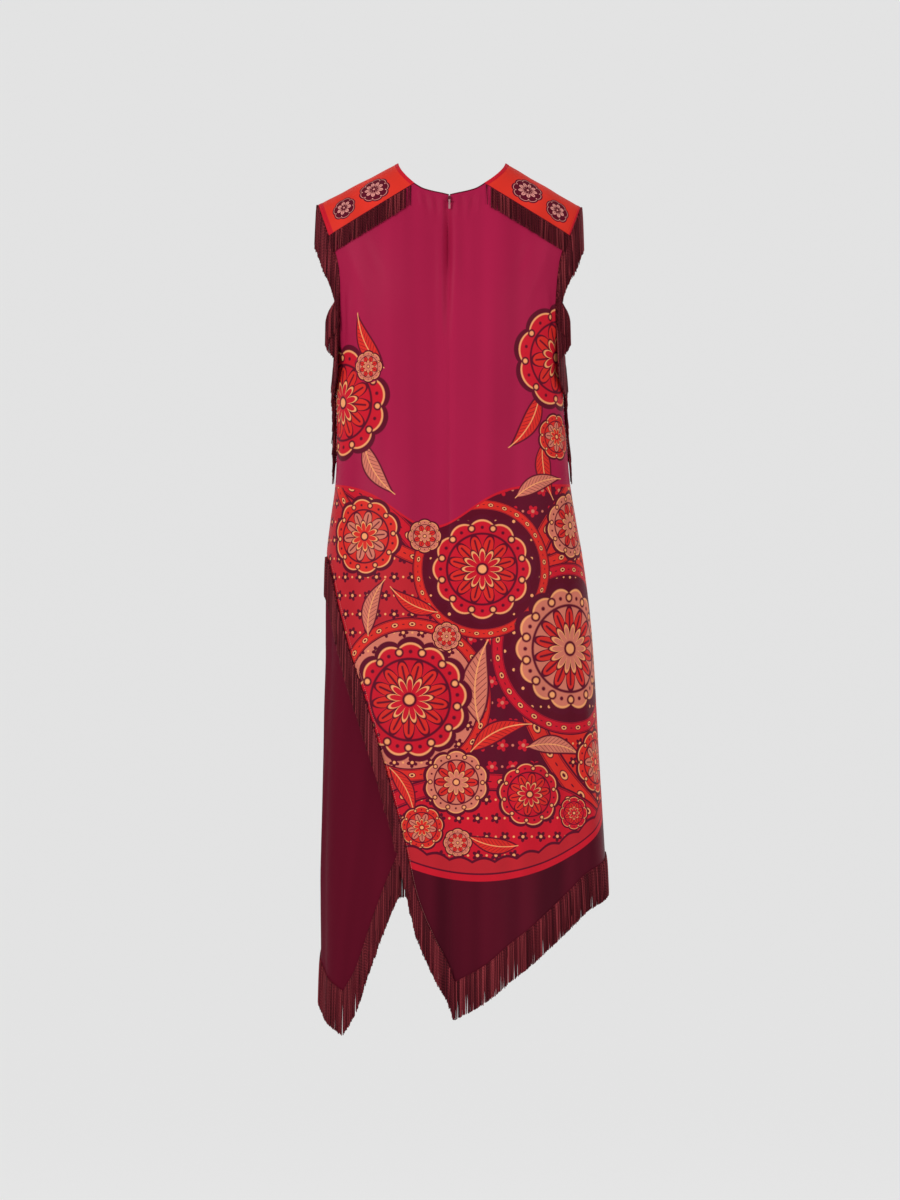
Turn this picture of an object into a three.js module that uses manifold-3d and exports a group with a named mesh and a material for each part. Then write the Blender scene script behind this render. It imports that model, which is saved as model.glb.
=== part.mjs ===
// A sleeveless scarf dress in its worn, hollow form: two back halves, a front that wraps round the left side,
// two shoulder yokes, an invisible zip's slider with its pull tab, and fringes on narrow backing strips.
// Millimetres. +Z is up, the back faces -Y, and +X is to the right of someone looking at the back.
// The origin lies between the two neck points, at their height.
import * as THREE from "three";
import Module from "manifold-3d";
import { mergeVertices } from "three/addons/utils/BufferGeometryUtils.js";

const wasm = await Module();
wasm.setup();

// ---- Cloth ----
const WALL = 1.2;
const SEAM_GAP = 0.3;
const FRINGE_WALL = 1.0;
const DEGREE = Math.PI / 180;

// ---- The filled-out form: half-widths to left and right, depths to back and front, at each height ----
const FORM = [
  { z: 60, left: 216, right: 216, back: 44, front: 30 },
  { z: -32, left: 216, right: 216, back: 64, front: 46 },
  { z: -60, left: 212, right: 212, back: 72, front: 63 },
  { z: -108, left: 205, right: 205, back: 88, front: 91 },
  { z: -133, left: 193, right: 191, back: 96, front: 102 },
  { z: -175, left: 181, right: 180, back: 106, front: 116 },
  { z: -215, left: 176, right: 175, back: 110, front: 123 },
  { z: -250, left: 171, right: 171, back: 110, front: 122 },
  { z: -285, left: 167.5, right: 168, back: 107, front: 116 },
  { z: -347, left: 165.5, right: 167, back: 95, front: 99 },
  { z: -410, left: 165, right: 172, back: 85, front: 89 },
  { z: -467, left: 167, right: 176.5, back: 89, front: 93 },
  { z: -526, left: 174.5, right: 186, back: 103, front: 105 },
  { z: -575, left: 180, right: 195, back: 113, front: 114 },
  { z: -641, left: 181.5, right: 204, back: 122, front: 120 },
  { z: -714, left: 182, right: 211, back: 125, front: 121 },
  { z: -817, left: 184.5, right: 217, back: 127, front: 122 },
  { z: -1008, left: 187.5, right: 228, back: 128, front: 123 },
  { z: -1165, left: 188.5, right: 240, back: 128, front: 124 },
  { z: -1330, left: 190, right: 248, back: 128, front: 124 },
];
// Points nearer than one part in this many of a millimetre are one.
const MERGE_PER_MM = 500;
// How much fuller than an ellipse a section is at its four corners.
const FULLNESS = 0.046;

// ---- Soft folds of the skirt: angle from the centre back, where each starts, its width and its height ----
const FOLDS = [
  { angle: -68, top: -700, width: 34, depth: 4.5 },
  { angle: -38, top: -760, width: 38, depth: -3.5 },
  { angle: 12, top: -900, width: 44, depth: 4.0 },
  { angle: 40, top: -860, width: 40, depth: -4.5 },
  { angle: 68, top: -780, width: 42, depth: 4.0 },
  { angle: 112, top: -640, width: 46, depth: -4.0 },
  { angle: 146, top: -700, width: 48, depth: 5.0 },
  { angle: 183, top: -600, width: 46, depth: -4.5 },
  { angle: 216, top: -720, width: 44, depth: 4.5 },
  { angle: 248, top: -650, width: 42, depth: -4.0 },
];
const FOLD_FADE = 260;

// ---- Heights of the rows of points, shared by the pieces so that their seams match ----
const NECK_TOP = -31.8;
const YOKE_CORNER_Z = -107.8;
const UNDERARM_Z = -285;
const SLIT_TOP = -575;
const HEM_SPLIT = -1000;
const YOKE_ROWS = [NECK_TOP, -35, -39.2, -44, -48.9, -57, -66, -76, -87, -98, YOKE_CORNER_Z];
const BODY_ROWS = [
  -120, -133, -153, -175, -204, -228, -251, -266, -276, UNDERARM_Z, -315, -347, -378, -410, -440, -467,
  -497, -526, -550, SLIT_TOP, -588, -612, -642, -678, -714, -765, -817, -878, -940, HEM_SPLIT,
];
const BACK_COLUMNS = 8;
const FRONT_COLUMNS = 20;
const FRONT_MAIN_COLUMNS = 14;
const CORNER_COLUMN = 17;

// ---- Edges. x is measured out from the centre line, one column for each side ----
const BACK_NECK = [
  { z: -48.9, x: 0 },
  { z: -46, x: 12.3 },
  { z: -43.1, x: 26 },
  { z: -39.2, x: 38.8 },
  { z: -35, x: 46.5 },
  { z: NECK_TOP, x: 51.4 },
];
const FRONT_NECK = [
  { z: -98, x: 0 },
  { z: -87, x: 27 },
  { z: -76, x: 39 },
  { z: -66, x: 47 },
  { z: -57, x: 53 },
  { z: -43.1, x: 59.5 },
  { z: NECK_TOP, x: 63 },
];
const YOKE_BACK_CORNER = 175.6;
const YOKE_FRONT_CORNER = 171;
const BACK_ARMHOLE = [
  { z: YOKE_CORNER_Z, left: 175.6, right: 175.6 },
  { z: -133, left: 166.8, right: 164.5 },
  { z: -153, left: 162, right: 160 },
  { z: -175, left: 160, right: 157.5 },
  { z: -204, left: 159.6, right: 155.5 },
  { z: -228, left: 160, right: 155.4 },
  { z: -251, left: 161.6, right: 156.6 },
  { z: -266, left: 164, right: 160.5 },
  { z: -276, left: 166, right: 165 },
];
const FRONT_ARMHOLE = [
  { z: YOKE_CORNER_Z, left: 171, right: 171 },
  { z: -133, left: 161, right: 160 },
  { z: -153, left: 156.5, right: 155 },
  { z: -175, left: 154, right: 152 },
  { z: -204, left: 153.5, right: 151 },
  { z: -228, left: 155, right: 152.5 },
  { z: -251, left: 158.5, right: 156 },
  { z: -266, left: 162.5, right: 160.5 },
  { z: -276, left: 165.5, right: 165 },
];
// The slanting left edge of the back, from the side seam to the low corner.
const SLANT_EDGE = [
  { z: -588, x: -174.6 },
  { z: -612, x: -169.5 },
  { z: -642, x: -164 },
  { z: -680, x: -154.5 },
  { z: -714, x: -145.5 },
  { z: -765, x: -129 },
  { z: -817, x: -113.5 },
  { z: -880, x: -95.5 },
  { z: -940, x: -79.5 },
  { z: -1000, x: -64 },
  { z: -1069, x: -48.7 },
  { z: -1128, x: -24.6 },
  { z: -1167, x: -3.7 },
  { z: -1196, x: 6.6 },
];
const SLANT_LOW_ROWS = [-1035, -1069, -1098, -1128, -1148, -1167, -1184, -1196];
// The centre-back seam drifts to the right near the low corner.
const CENTRE_SEAM = [
  { z: -900, x: 0 },
  { z: -1000, x: 1 },
  { z: -1128, x: 4.4 },
  { z: -1196, x: 6.8 },
];
// Hem of the right back: angle from the centre back, and height.
const BACK_HEM = [
  { angle: 0, z: -1197.5 },
  { angle: 11, z: -1172.5 },
  { angle: 20.5, z: -1141 },
  { angle: 28, z: -1119.4 },
  { angle: 36, z: -1095 },
  { angle: 45, z: -1068.7 },
  { angle: 57.5, z: -1038.4 },
  { angle: 90, z: -1011.4 },
];
// Hidden edge of the wrap, under the back, down to where the two part.
const WRAP_EDGE = [
  { z: -612, x: -140 },
  { z: -714, x: -108 },
  { z: -817, x: -77 },
  { z: -940, x: -46 },
  { z: -1000, x: -72 },
];
// Hem of the front and of the wrap, by angle from the centre back.
const FRONT_HEM = [
  { angle: 90, z: -1011.4 },
  { angle: 120, z: -1008 },
  { angle: 180, z: -1008 },
  { angle: 205, z: -1022 },
  { angle: 218, z: -1045 },
  { angle: 232, z: -1080 },
  { angle: 250, z: -1125 },
  { angle: 270, z: -1165 },
  { angle: 306.4, z: -1213 },
  { angle: 314.8, z: -1176 },
  { angle: 324, z: -1104 },
  { angle: 333, z: -1035 },
  { angle: 338.1, z: HEM_SPLIT },
];
const WRAP_CORNER = 306.4;
const HEM_STEPS = 5;
// Heights over which the front's columns spread round towards the wrap, and where the plain ones end.
const FRONT_SPREAD = { from: -440, to: -680, mainEnd: 262 };
// How far the wrap lies inside the back, and the angles over which it steps in.
const WRAP_INSET = 7;
const WRAP_STEP_FROM = 271;
const WRAP_STEP_TO = 286;
const WRAP_STEP_DROP = 30;

// ---- Shoulder ridges and yokes ----
const RIDGES = {
  left: { neckX: 75.6, tipX: 192, tipZ: -60.6 },
  right: { neckX: 82.8, tipX: 192, tipZ: -64 },
};
const YOKE_STEPS = 4;
const YOKE_BEND = 62 * DEGREE;
const YOKE_NECK_CURVE = 1.6;

// ---- Fringes ----
const STRIP = 3.5;
const STRAND_SHARE = 0.42;
const YOKE_FRINGE = { count: 12, length: 28, flare: 1.5, lift: 0.2 };
const YOKE_FRONT_FRINGE = { count: 9, length: 28, flare: 1.5, lift: 0.6 };
// How far a yoke's fringe starts below the yoke's edge, in from its ends, and how much it rises to its roots.
const YOKE_FRINGE_START = { below: 1.2, inset: 2, past: 1, rise: 0.2 };
const SHOULDER_FRINGE = { count: 12, length: 62, flare: 3 };
const UNDERARM_FRINGE = { count: 11, length: 62, flare: 1.5, spread: 0.2, top: -175, lift: 0.2, step: 1.2 };
const SIDE_FRINGE = {
  count: 9, top: -292, bottom: -438, length: 34, lean: 0.42, half: 1.6, lift: 0.2, flare: 1.4,
};
const SLANT_FRINGE = { count: 34, length: 60, flare: 3 };
const BACK_HEM_FRINGE = { count: 32, length: 58, flare: 4 };
const FRONT_HEM_FRINGE = { count: 32, length: 60, flare: 3 };
const WRAP_EDGE_FRINGE = { count: 12, length: 60, flare: 2 };

// ---- Zip ----
const SLIDER = { z: -55.5, width: 5, footShare: 0.72, length: 9, thick: 1.8 };
const PIN = { radius: 0.45, height: 4.4, along: 3.0, half: 2.4, over: 0.9 };
const LUG = { width: 0.8, length: 2.4, offset: 2.0, sunk: 0.2 };
const TAB = { width: 3, topShare: 0.8, length: 13, thick: 0.9, eyeRadius: 1.25, holeRadius: 0.7, eyeHalf: 1.3 };
const ROUND_SIDES = 18;
const TAB_REST_TILT = 15 * DEGREE;
// Length of cloth above and below the slider that sets its slope, and how round a plate's ends are.
const ZIP_REACH = 8;
const PLATE_ROUND = 0.8;

// ---- Finishes ----
const RASPBERRY = { color: 0xa2224a, roughness: 0.45, metalness: 0 };
const BURGUNDY = { color: 0x5c182a, roughness: 0.5, metalness: 0 };
const VERMILION = { color: 0xe83c2a, roughness: 0.5, metalness: 0 };
const FRINGE_YARN = { color: 0x641c2a, roughness: 0.6, metalness: 0 };
const METAL = { color: 0xd8b4b8, roughness: 0.3, metalness: 0.9 };

// A smooth curve through one column of a table: cubic steps with slopes taken from the neighbours.
function curve(table, key, by = "z") {
  const rows = [...table].sort((a, b) => a[by] - b[by]);
  const slope = rows.map((row, i) => {
    const low = rows[Math.max(i - 1, 0)];
    const high = rows[Math.min(i + 1, rows.length - 1)];
    return (high[key] - low[key]) / (high[by] - low[by]);
  });
  return (at) => {
    let i = rows.findIndex((row) => row[by] > at) - 1;
    if (i === -2) i = rows.length - 2;
    i = Math.max(i, 0);
    const step = rows[i + 1][by] - rows[i][by];
    const t = Math.min(Math.max((at - rows[i][by]) / step, 0), 1);
    const near = rows[i][key] * (1 + 2 * t) + slope[i] * step * t;
    const far = rows[i + 1][key] * (3 - 2 * t) - slope[i + 1] * step * (1 - t);
    return near * (1 - t) ** 2 + far * t ** 2;
  };
}

// Straight steps between the rows of a table.
function straight(table, key, by = "z") {
  const rows = [...table].sort((a, b) => a[by] - b[by]);
  return (at) => {
    let i = rows.findIndex((row) => row[by] > at) - 1;
    if (i === -2) i = rows.length - 2;
    i = Math.max(i, 0);
    const t = Math.min(Math.max((at - rows[i][by]) / (rows[i + 1][by] - rows[i][by]), 0), 1);
    return rows[i][key] + t * (rows[i + 1][key] - rows[i][key]);
  };
}

const form = {
  left: curve(FORM, "left"),
  right: curve(FORM, "right"),
  back: curve(FORM, "back"),
  front: curve(FORM, "front"),
};

function smooth(t) {
  const s = Math.min(Math.max(t, 0), 1);
  return s * s * (3 - 2 * s);
}

function foldHeight(angle, z, reach) {
  return FOLDS.reduce((sum, fold) => {
    const turn = angle / DEGREE - fold.angle;
    const away = (turn - 360 * Math.round(turn / 360)) * DEGREE * reach;
    return sum + fold.depth * Math.exp(-((away / fold.width) ** 2)) * smooth((fold.top - z) / FOLD_FADE);
  }, 0);
}

// A point of the dress's form: angle round from the centre back, height, and how far it is lifted off the form.
function skin(angle, z, lift = 0) {
  const side = Math.sin(angle);
  const rear = Math.cos(angle);
  const halfWidth = side > 0 ? form.right(z) : form.left(z);
  const depth = rear > 0 ? form.back(z) : form.front(z);
  const full = 1 + FULLNESS * Math.sin(2 * angle) ** 2;
  const out = new THREE.Vector2(side / halfWidth, -rear / depth).normalize();
  const off = lift + foldHeight(angle, z, (halfWidth + depth) / 2);
  return new THREE.Vector3(halfWidth * side * full + off * out.x, -depth * rear * full + off * out.y, z);
}

// The angle in the back half where the form is x to the side.
function angleAt(x, z) {
  let low = -90 * DEGREE;
  let high = 90 * DEGREE;
  for (let k = 0; k < 40; k += 1) {
    const middle = (low + high) / 2;
    const halfWidth = middle > 0 ? form.right(z) : form.left(z);
    const full = 1 + FULLNESS * Math.sin(2 * middle) ** 2;
    if (halfWidth * Math.sin(middle) * full < x) low = middle;
    else high = middle;
  }
  return (low + high) / 2;
}

// The angle that spans a length along the form.
function turnOf(length, angle, z) {
  const step = 0.002;
  return (length * step) / skin(angle + step / 2, z).distanceTo(skin(angle - step / 2, z));
}

// Triangles over rows of points, each row running to the right as seen from outside and the rows running down.
function surfaceOf(sheets) {
  const points = [];
  const seen = new Map();
  const triangles = [];
  const number = (p) => {
    const key = [p.x, p.y, p.z].map((c) => Math.round(c * MERGE_PER_MM)).join(",");
    if (!seen.has(key)) {
      seen.set(key, points.length);
      points.push(p);
    }
    return seen.get(key);
  };
  const add = (...corners) => {
    if (new Set(corners).size === 3) triangles.push(corners);
  };
  for (const rows of sheets) {
    const index = rows.map((row) => row.map(number));
    for (let j = 0; j + 1 < index.length; j += 1) {
      for (let i = 0; i + 1 < index[j].length; i += 1) {
        const [a, b] = [index[j][i], index[j][i + 1]];
        const [c, d] = [index[j + 1][i + 1], index[j + 1][i]];
        add(d, c, b);
        add(d, b, a);
      }
    }
  }
  return { points, triangles };
}

// A closed wall with the surface at its middle, and a rim along the surface's edges.
function wallOf({ points, triangles }, thick) {
  const normals = points.map(() => new THREE.Vector3());
  const edges = new Map();
  for (const [a, b, c] of triangles) {
    const one = points[b].clone().sub(points[a]);
    const two = points[c].clone().sub(points[a]);
    const normal = one.cross(two);
    for (const [from, to] of [[a, b], [b, c], [c, a]]) {
      normals[from].add(normal);
      edges.set(`${from},${to}`, [from, to]);
    }
  }
  const half = thick / 2;
  const outer = points.map((p, i) => p.clone().addScaledVector(normals[i].normalize(), half));
  const inner = points.map((p, i) => p.clone().addScaledVector(normals[i], -half));
  const count = points.length;
  const faces = triangles.flatMap(([a, b, c]) => [[a, b, c], [a + count, c + count, b + count]]);
  for (const [from, to] of edges.values()) {
    if (!edges.has(`${to},${from}`)) {
      faces.push([to, from, from + count], [to, from + count, to + count]);
    }
  }
  const geometry = new THREE.BufferGeometry();
  const flat = [...outer, ...inner].flatMap((p) => p.toArray());
  geometry.setAttribute("position", new THREE.Float32BufferAttribute(flat, 3));
  geometry.setIndex(faces.flat());
  geometry.computeVertexNormals();
  return geometry;
}

function between(from, to, count, share = (t) => t) {
  return Array.from({ length: count + 1 }, (_, i) => from + (to - from) * share(i / count));
}

// ---- Panel edges, as angles ----
const backNeck = straight(BACK_NECK, "x");
const frontNeck = straight(FRONT_NECK, "x");
const centreSeam = curve(CENTRE_SEAM, "x");
const slantEdge = straight(SLANT_EDGE, "x");
const wrapEdge = straight(WRAP_EDGE, "x");
const backHem = straight(BACK_HEM, "z", "angle");
const frontHem = straight(FRONT_HEM, "z", "angle");

function yokeEdge(z, inner, outer) {
  return inner + ((outer - inner) * (NECK_TOP - z)) / (NECK_TOP - YOKE_CORNER_Z);
}

// The x of a back half's outer edge, down to the underarm.
function backOuter(z, side) {
  if (z >= YOKE_CORNER_Z) return yokeEdge(z, BACK_NECK.at(-1).x, YOKE_BACK_CORNER);
  return straight(BACK_ARMHOLE, side)(z);
}

function frontOuter(z, side) {
  if (z >= YOKE_CORNER_Z) return yokeEdge(z, FRONT_NECK.at(-1).x, YOKE_FRONT_CORNER);
  return straight(FRONT_ARMHOLE, side)(z);
}

function seamAngle(z) {
  return angleAt(centreSeam(z), z);
}

const halfGap = (angle, z) => turnOf(SEAM_GAP / 2, angle, z);
const LEFT_SEAM = -90 * DEGREE;
const RIGHT_SEAM = 90 * DEGREE;

function backInner(z, sign) {
  if (z > BACK_NECK[0].z) return angleAt(sign * backNeck(z), z);
  const seam = seamAngle(z);
  return seam + sign * halfGap(seam, z);
}

function backLeftRow(z) {
  let outer = LEFT_SEAM + halfGap(LEFT_SEAM, z);
  if (z > UNDERARM_Z) outer = angleAt(-backOuter(z, "left"), z);
  if (z < SLIT_TOP) outer = angleAt(slantEdge(z), z);
  const inner = backInner(z, -1);
  return between(outer, Math.max(inner, outer), BACK_COLUMNS).map((angle) => skin(angle, z));
}

function backRightRow(z) {
  const outer = z > UNDERARM_Z ? angleAt(backOuter(z, "right"), z) : RIGHT_SEAM - halfGap(RIGHT_SEAM, z);
  return between(backInner(z, 1), outer, BACK_COLUMNS).map((angle) => skin(angle, z));
}

function backLeft() {
  const rows = [...YOKE_ROWS, ...BODY_ROWS, ...SLANT_LOW_ROWS].map(backLeftRow);
  return { sheets: [rows], slant: rows.slice(YOKE_ROWS.length + BODY_ROWS.indexOf(SLIT_TOP)).map((r) => r[0]) };
}

function backRight() {
  const rows = [...YOKE_ROWS, ...BODY_ROWS].map(backRightRow);
  const columns = between(0, 1, BACK_COLUMNS);
  for (let step = 1; step <= HEM_STEPS; step += 1) {
    rows.push(columns.map((u) => {
      const hem = backHem(90 * u);
      const z = HEM_SPLIT + ((hem - HEM_SPLIT) * step) / HEM_STEPS;
      const from = seamAngle(z);
      const start = from + halfGap(from, z);
      const end = RIGHT_SEAM - halfGap(RIGHT_SEAM, z);
      return skin(start + (end - start) * u, z);
    }));
  }
  return { sheets: [rows], hem: rows.at(-1) };
}

// How far the wrap is set in, so that the back lies over it.
function wrapInset(angle, z) {
  const turn = smooth((angle / DEGREE - WRAP_STEP_FROM) / (WRAP_STEP_TO - WRAP_STEP_FROM));
  return -WRAP_INSET * turn * smooth((SLIT_TOP - z) / WRAP_STEP_DROP);
}

function frontPoint(angle, z) {
  return skin(angle, z, wrapInset(angle, z));
}

// Where the front's columns stand: even above the hip; below it they move round to meet the wrap.
function frontAngles(z) {
  const start = 90 + halfGap(RIGHT_SEAM, z) / DEGREE;
  const end = frontLeftEnd(z) / DEGREE;
  const turn = smooth((FRONT_SPREAD.from - z) / (FRONT_SPREAD.from - FRONT_SPREAD.to));
  const evenMain = start + ((270 - start) * FRONT_MAIN_COLUMNS) / FRONT_COLUMNS;
  const main = evenMain + (FRONT_SPREAD.mainEnd - evenMain) * turn;
  const rest = FRONT_COLUMNS - FRONT_MAIN_COLUMNS;
  const low = FRONT_SPREAD.mainEnd;
  const toCorner = (WRAP_CORNER - low) / (CORNER_COLUMN - FRONT_MAIN_COLUMNS);
  const toEdge = (FRONT_HEM.at(-1).angle - WRAP_CORNER) / (FRONT_COLUMNS - CORNER_COLUMN);
  return between(0, FRONT_COLUMNS, FRONT_COLUMNS).map((i) => {
    if (i <= FRONT_MAIN_COLUMNS) return start + ((main - start) * i) / FRONT_MAIN_COLUMNS;
    const even = (i - FRONT_MAIN_COLUMNS) / rest;
    const angle = i <= CORNER_COLUMN
      ? low + toCorner * (i - FRONT_MAIN_COLUMNS)
      : WRAP_CORNER + toEdge * (i - CORNER_COLUMN);
    const spread = (angle - low) / (FRONT_HEM.at(-1).angle - low);
    return main + (end - main) * (even + (spread - even) * turn);
  });
}

function frontLeftEnd(z) {
  const seam = 270 * DEGREE;
  if (z > WRAP_EDGE[0].z) return seam - halfGap(seam, z);
  return 2 * Math.PI + angleAt(wrapEdge(z), z);
}

function frontRow(z) {
  return frontAngles(z).map((angle) => frontPoint(angle * DEGREE, z));
}

// Above the underarm the front has two halves, apart round the neck and joined below it.
function frontHalfRow(z, sign) {
  const outer = Math.PI - sign * angleAt(frontOuter(z, sign > 0 ? "right" : "left"), z);
  const inner = z > FRONT_NECK[0].z ? Math.PI - sign * angleAt(frontNeck(z), z) : Math.PI;
  const ends = sign > 0 ? [outer, inner] : [inner, outer];
  return between(...ends, FRONT_COLUMNS / 2).map((angle) => frontPoint(angle, z));
}

function front() {
  const high = [...YOKE_ROWS, ...BODY_ROWS].filter((z) => z > UNDERARM_Z);
  const low = BODY_ROWS.filter((z) => z <= UNDERARM_Z);
  const body = low.map(frontRow);
  const angles = frontAngles(HEM_SPLIT);
  for (let step = 1; step <= HEM_STEPS; step += 1) {
    body.push(angles.map((angle) => {
      const z = HEM_SPLIT + ((frontHem(angle) - HEM_SPLIT) * step) / HEM_STEPS;
      return frontPoint(angle * DEGREE, z);
    }));
  }
  const middle = FRONT_COLUMNS / 2;
  const rightHalf = high.map((z) => frontHalfRow(z, 1));
  const leftHalf = high.map((z) => frontHalfRow(z, -1));
  rightHalf.push(...body.map((row) => row.slice(0, middle + 1)));
  leftHalf.push(...body.map((row) => row.slice(middle)));
  const hem = body.at(-1);
  const wrap = hem.slice(CORNER_COLUMN);
  return { sheets: [rightHalf, leftHalf], hem: hem.slice(0, CORNER_COLUMN + 1), wrap };
}

// ---- Yokes: each column arches from the front edge over the ridge to the back edge ----
function yokePoint(z, sign, across) {
  const ridge = sign > 0 ? RIDGES.right : RIDGES.left;
  const along = (NECK_TOP - z) / (NECK_TOP - YOKE_CORNER_Z);
  const topX = sign * (ridge.neckX + (ridge.tipX - ridge.neckX) * along);
  const top = new THREE.Vector3(topX, 0, ridge.tipZ * along);
  const rear = across < 0;
  const neckX = (rear ? BACK_NECK : FRONT_NECK).at(-1).x;
  const angle = angleAt(sign * yokeEdge(z, neckX, rear ? YOKE_BACK_CORNER : YOKE_FRONT_CORNER), z);
  const edge = skin(rear ? angle : Math.PI - angle, z + SEAM_GAP * 1.3);
  const bend = Math.abs(across) * YOKE_BEND;
  const drop = (1 - Math.cos(bend)) / (1 - Math.cos(YOKE_BEND));
  const side = drop ** (YOKE_NECK_CURVE + (1 - YOKE_NECK_CURVE) * along);
  return new THREE.Vector3(
    top.x + (edge.x - top.x) * side,
    (edge.y * Math.sin(bend)) / Math.sin(YOKE_BEND),
    top.z + (edge.z - top.z) * drop,
  );
}

function yoke(sign) {
  const along = sign > 0 ? YOKE_ROWS : [...YOKE_ROWS].reverse();
  const rows = between(1, -1, 2 * YOKE_STEPS).map((across) => along.map((z) => yokePoint(z, sign, across)));
  return { sheets: [rows], ends: rows.map((row) => (sign > 0 ? row.at(-1) : row[0])) };
}

// ---- Fringe ----
function pointAlong(line, share) {
  const lengths = line.slice(1).map((p, i) => p.distanceTo(line[i]));
  let left = share * lengths.reduce((a, b) => a + b, 0);
  let i = 0;
  while (i < lengths.length - 1 && left > lengths[i]) {
    left -= lengths[i];
    i += 1;
  }
  const direction = line[i + 1].clone().sub(line[i]).normalize();
  return { at: line[i].clone().addScaledVector(direction, left), direction };
}

// The horizontal direction away from the middle of the form.
function outwards(point) {
  const halfWidth = point.x > 0 ? form.right(point.z) : form.left(point.z);
  const depth = point.y < 0 ? form.back(point.z) : form.front(point.z);
  return new THREE.Vector3(point.x / halfWidth ** 2, point.y / depth ** 2, 0).normalize();
}

// Strands on a backing strip: each column has the strip's top and foot and the strand's tip.
function combOf(columns) {
  const strip = [columns.map((c) => c.top), columns.map((c) => c.root)];
  const strands = [];
  for (let i = 0; i < columns.length; i += 2) {
    const pair = columns.slice(i, i + 2);
    strands.push([pair.map((c) => c.root), pair.map((c) => c.tip)]);
  }
  return wallOf(surfaceOf([strip, ...strands]), FRINGE_WALL);
}

function strandEdges(count) {
  return Array.from({ length: 2 * count }, (_, i) => {
    const side = i % 2 ? 0.5 + STRAND_SHARE / 2 : 0.5 - STRAND_SHARE / 2;
    return (Math.floor(i / 2) + side) / count;
  });
}

// Fringe below a cloth edge, its strip just clear of the cloth and its strands hanging straight down.
function hangingFringe(line, { count, length, flare }, lift = 0) {
  return combOf(strandEdges(count).map((share) => {
    const { at, direction } = pointAlong(line, share);
    const out = outwards(at);
    const away = direction.clone().cross(out).normalize();
    if (away.z > 0) away.negate();
    const start = at.clone().addScaledVector(out, lift);
    const root = start.clone().addScaledVector(away, HEM_GAP + STRIP);
    const tip = root.clone().addScaledVector(out, flare);
    tip.z -= length;
    return { top: start.clone().addScaledVector(away, HEM_GAP), root, tip };
  }));
}

const OVER_CLOTH = WALL / 2 + SEAM_GAP + FRINGE_WALL / 2;
const EDGE_LIFT = 1.3;
const HEM_GAP = 0.45;

// Fringe lying on the cloth below a yoke's edge.
function yokeFringe(sign, rear, { count, length, flare, lift }) {
  const { below, inset, past, rise } = YOKE_FRINGE_START;
  const neckX = (rear ? BACK_NECK : FRONT_NECK).at(-1).x;
  const corner = rear ? YOKE_BACK_CORNER : YOKE_FRONT_CORNER;
  const at = (share, down, off) => {
    const z = NECK_TOP - past + (YOKE_CORNER_Z - NECK_TOP + 2 * past) * share;
    const angle = angleAt(sign * (yokeEdge(z, neckX, corner) - inset), z);
    return skin(rear ? angle : Math.PI - angle, z - down, OVER_CLOTH + off);
  };
  const columns = strandEdges(count).map((share) => ({
    top: at(share, below, lift),
    root: at(share, below + STRIP, lift + rise),
    tip: at(share, below + STRIP + length, flare),
  }));
  const toRight = (sign > 0) === rear;
  return combOf(toRight ? columns : columns.reverse());
}

// Fringe round the lower armhole, from the back edge under the arm to the front edge.
function underarmFringe(sign) {
  const side = sign > 0 ? "right" : "left";
  const { count, length, flare, spread, top, lift, step } = UNDERARM_FRINGE;
  const rows = BODY_ROWS.filter((z) => z <= top && z > UNDERARM_Z);
  const edge = (z, outer, mirror) => {
    const angle = angleAt(sign * outer(z, side), z);
    return skin(mirror ? Math.PI - angle : angle, z, OVER_CLOTH + lift);
  };
  const rear = rows.map((z) => edge(z, backOuter, false));
  const fore = rows.map((z) => edge(z, frontOuter, true)).reverse();
  const bottom = skin(sign > 0 ? RIGHT_SEAM : LEFT_SEAM, UNDERARM_Z, OVER_CLOTH + lift);
  const line = [...rear, bottom, ...fore];
  if (sign < 0) line.reverse();
  return combOf(strandEdges(count).map((share) => {
    const { at } = pointAlong(line, share);
    const out = new THREE.Vector3(sign, 0, 0);
    const root = at.clone().addScaledVector(out, step);
    root.z -= STRIP;
    const tip = root.clone().addScaledVector(out, flare + spread * Math.abs(at.y));
    tip.z -= length;
    return { top: at, root, tip };
  }));
}

// Fringe down a side seam: a narrow strip along the seam with strands leaning back off it.
function sideFringe(sign) {
  const { count, top, bottom, length, lean, half, lift, flare } = SIDE_FRINGE;
  const seam = sign > 0 ? RIGHT_SEAM : LEFT_SEAM;
  const columns = strandEdges(count).map((share) => {
    const z = top + (bottom - top) * share;
    const across = (over, drop, off) => skin(seam - sign * turnOf(over, seam, z), z - drop, OVER_CLOTH + off);
    return {
      top: across(-half, 0, lift),
      root: across(half, 0, lift),
      tip: across(half + length * lean, length * (1 - lean), flare),
    };
  });
  return combOf(sign > 0 ? columns.reverse() : columns);
}

// ---- Zip ----
function solidOf(geometry) {
  const bare = geometry.index ? geometry.toNonIndexed() : geometry.clone();
  bare.deleteAttribute("normal");
  bare.deleteAttribute("uv");
  const merged = mergeVertices(bare, 1e-4);
  return new wasm.Manifold(new wasm.Mesh({
    numProp: 3,
    vertProperties: new Float32Array(merged.attributes.position.array),
    triVerts: new Uint32Array(merged.index.array),
  }));
}

function geometryOf(solid) {
  const mesh = solid.getMesh();
  const geometry = new THREE.BufferGeometry();
  geometry.setAttribute("position", new THREE.BufferAttribute(mesh.vertProperties, 3));
  geometry.setIndex(new THREE.BufferAttribute(mesh.triVerts, 1));
  geometry.computeVertexNormals();
  return geometry;
}

function boxAt(width, depth, height, x, y, z) {
  return solidOf(new THREE.BoxGeometry(width, depth, height).translate(x, y, z));
}

function rodAlongX(radius, length, y, z) {
  const rod = new THREE.CylinderGeometry(radius, radius, length, ROUND_SIDES);
  return solidOf(rod.rotateZ(Math.PI / 2).translate(0, y, z));
}

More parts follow.
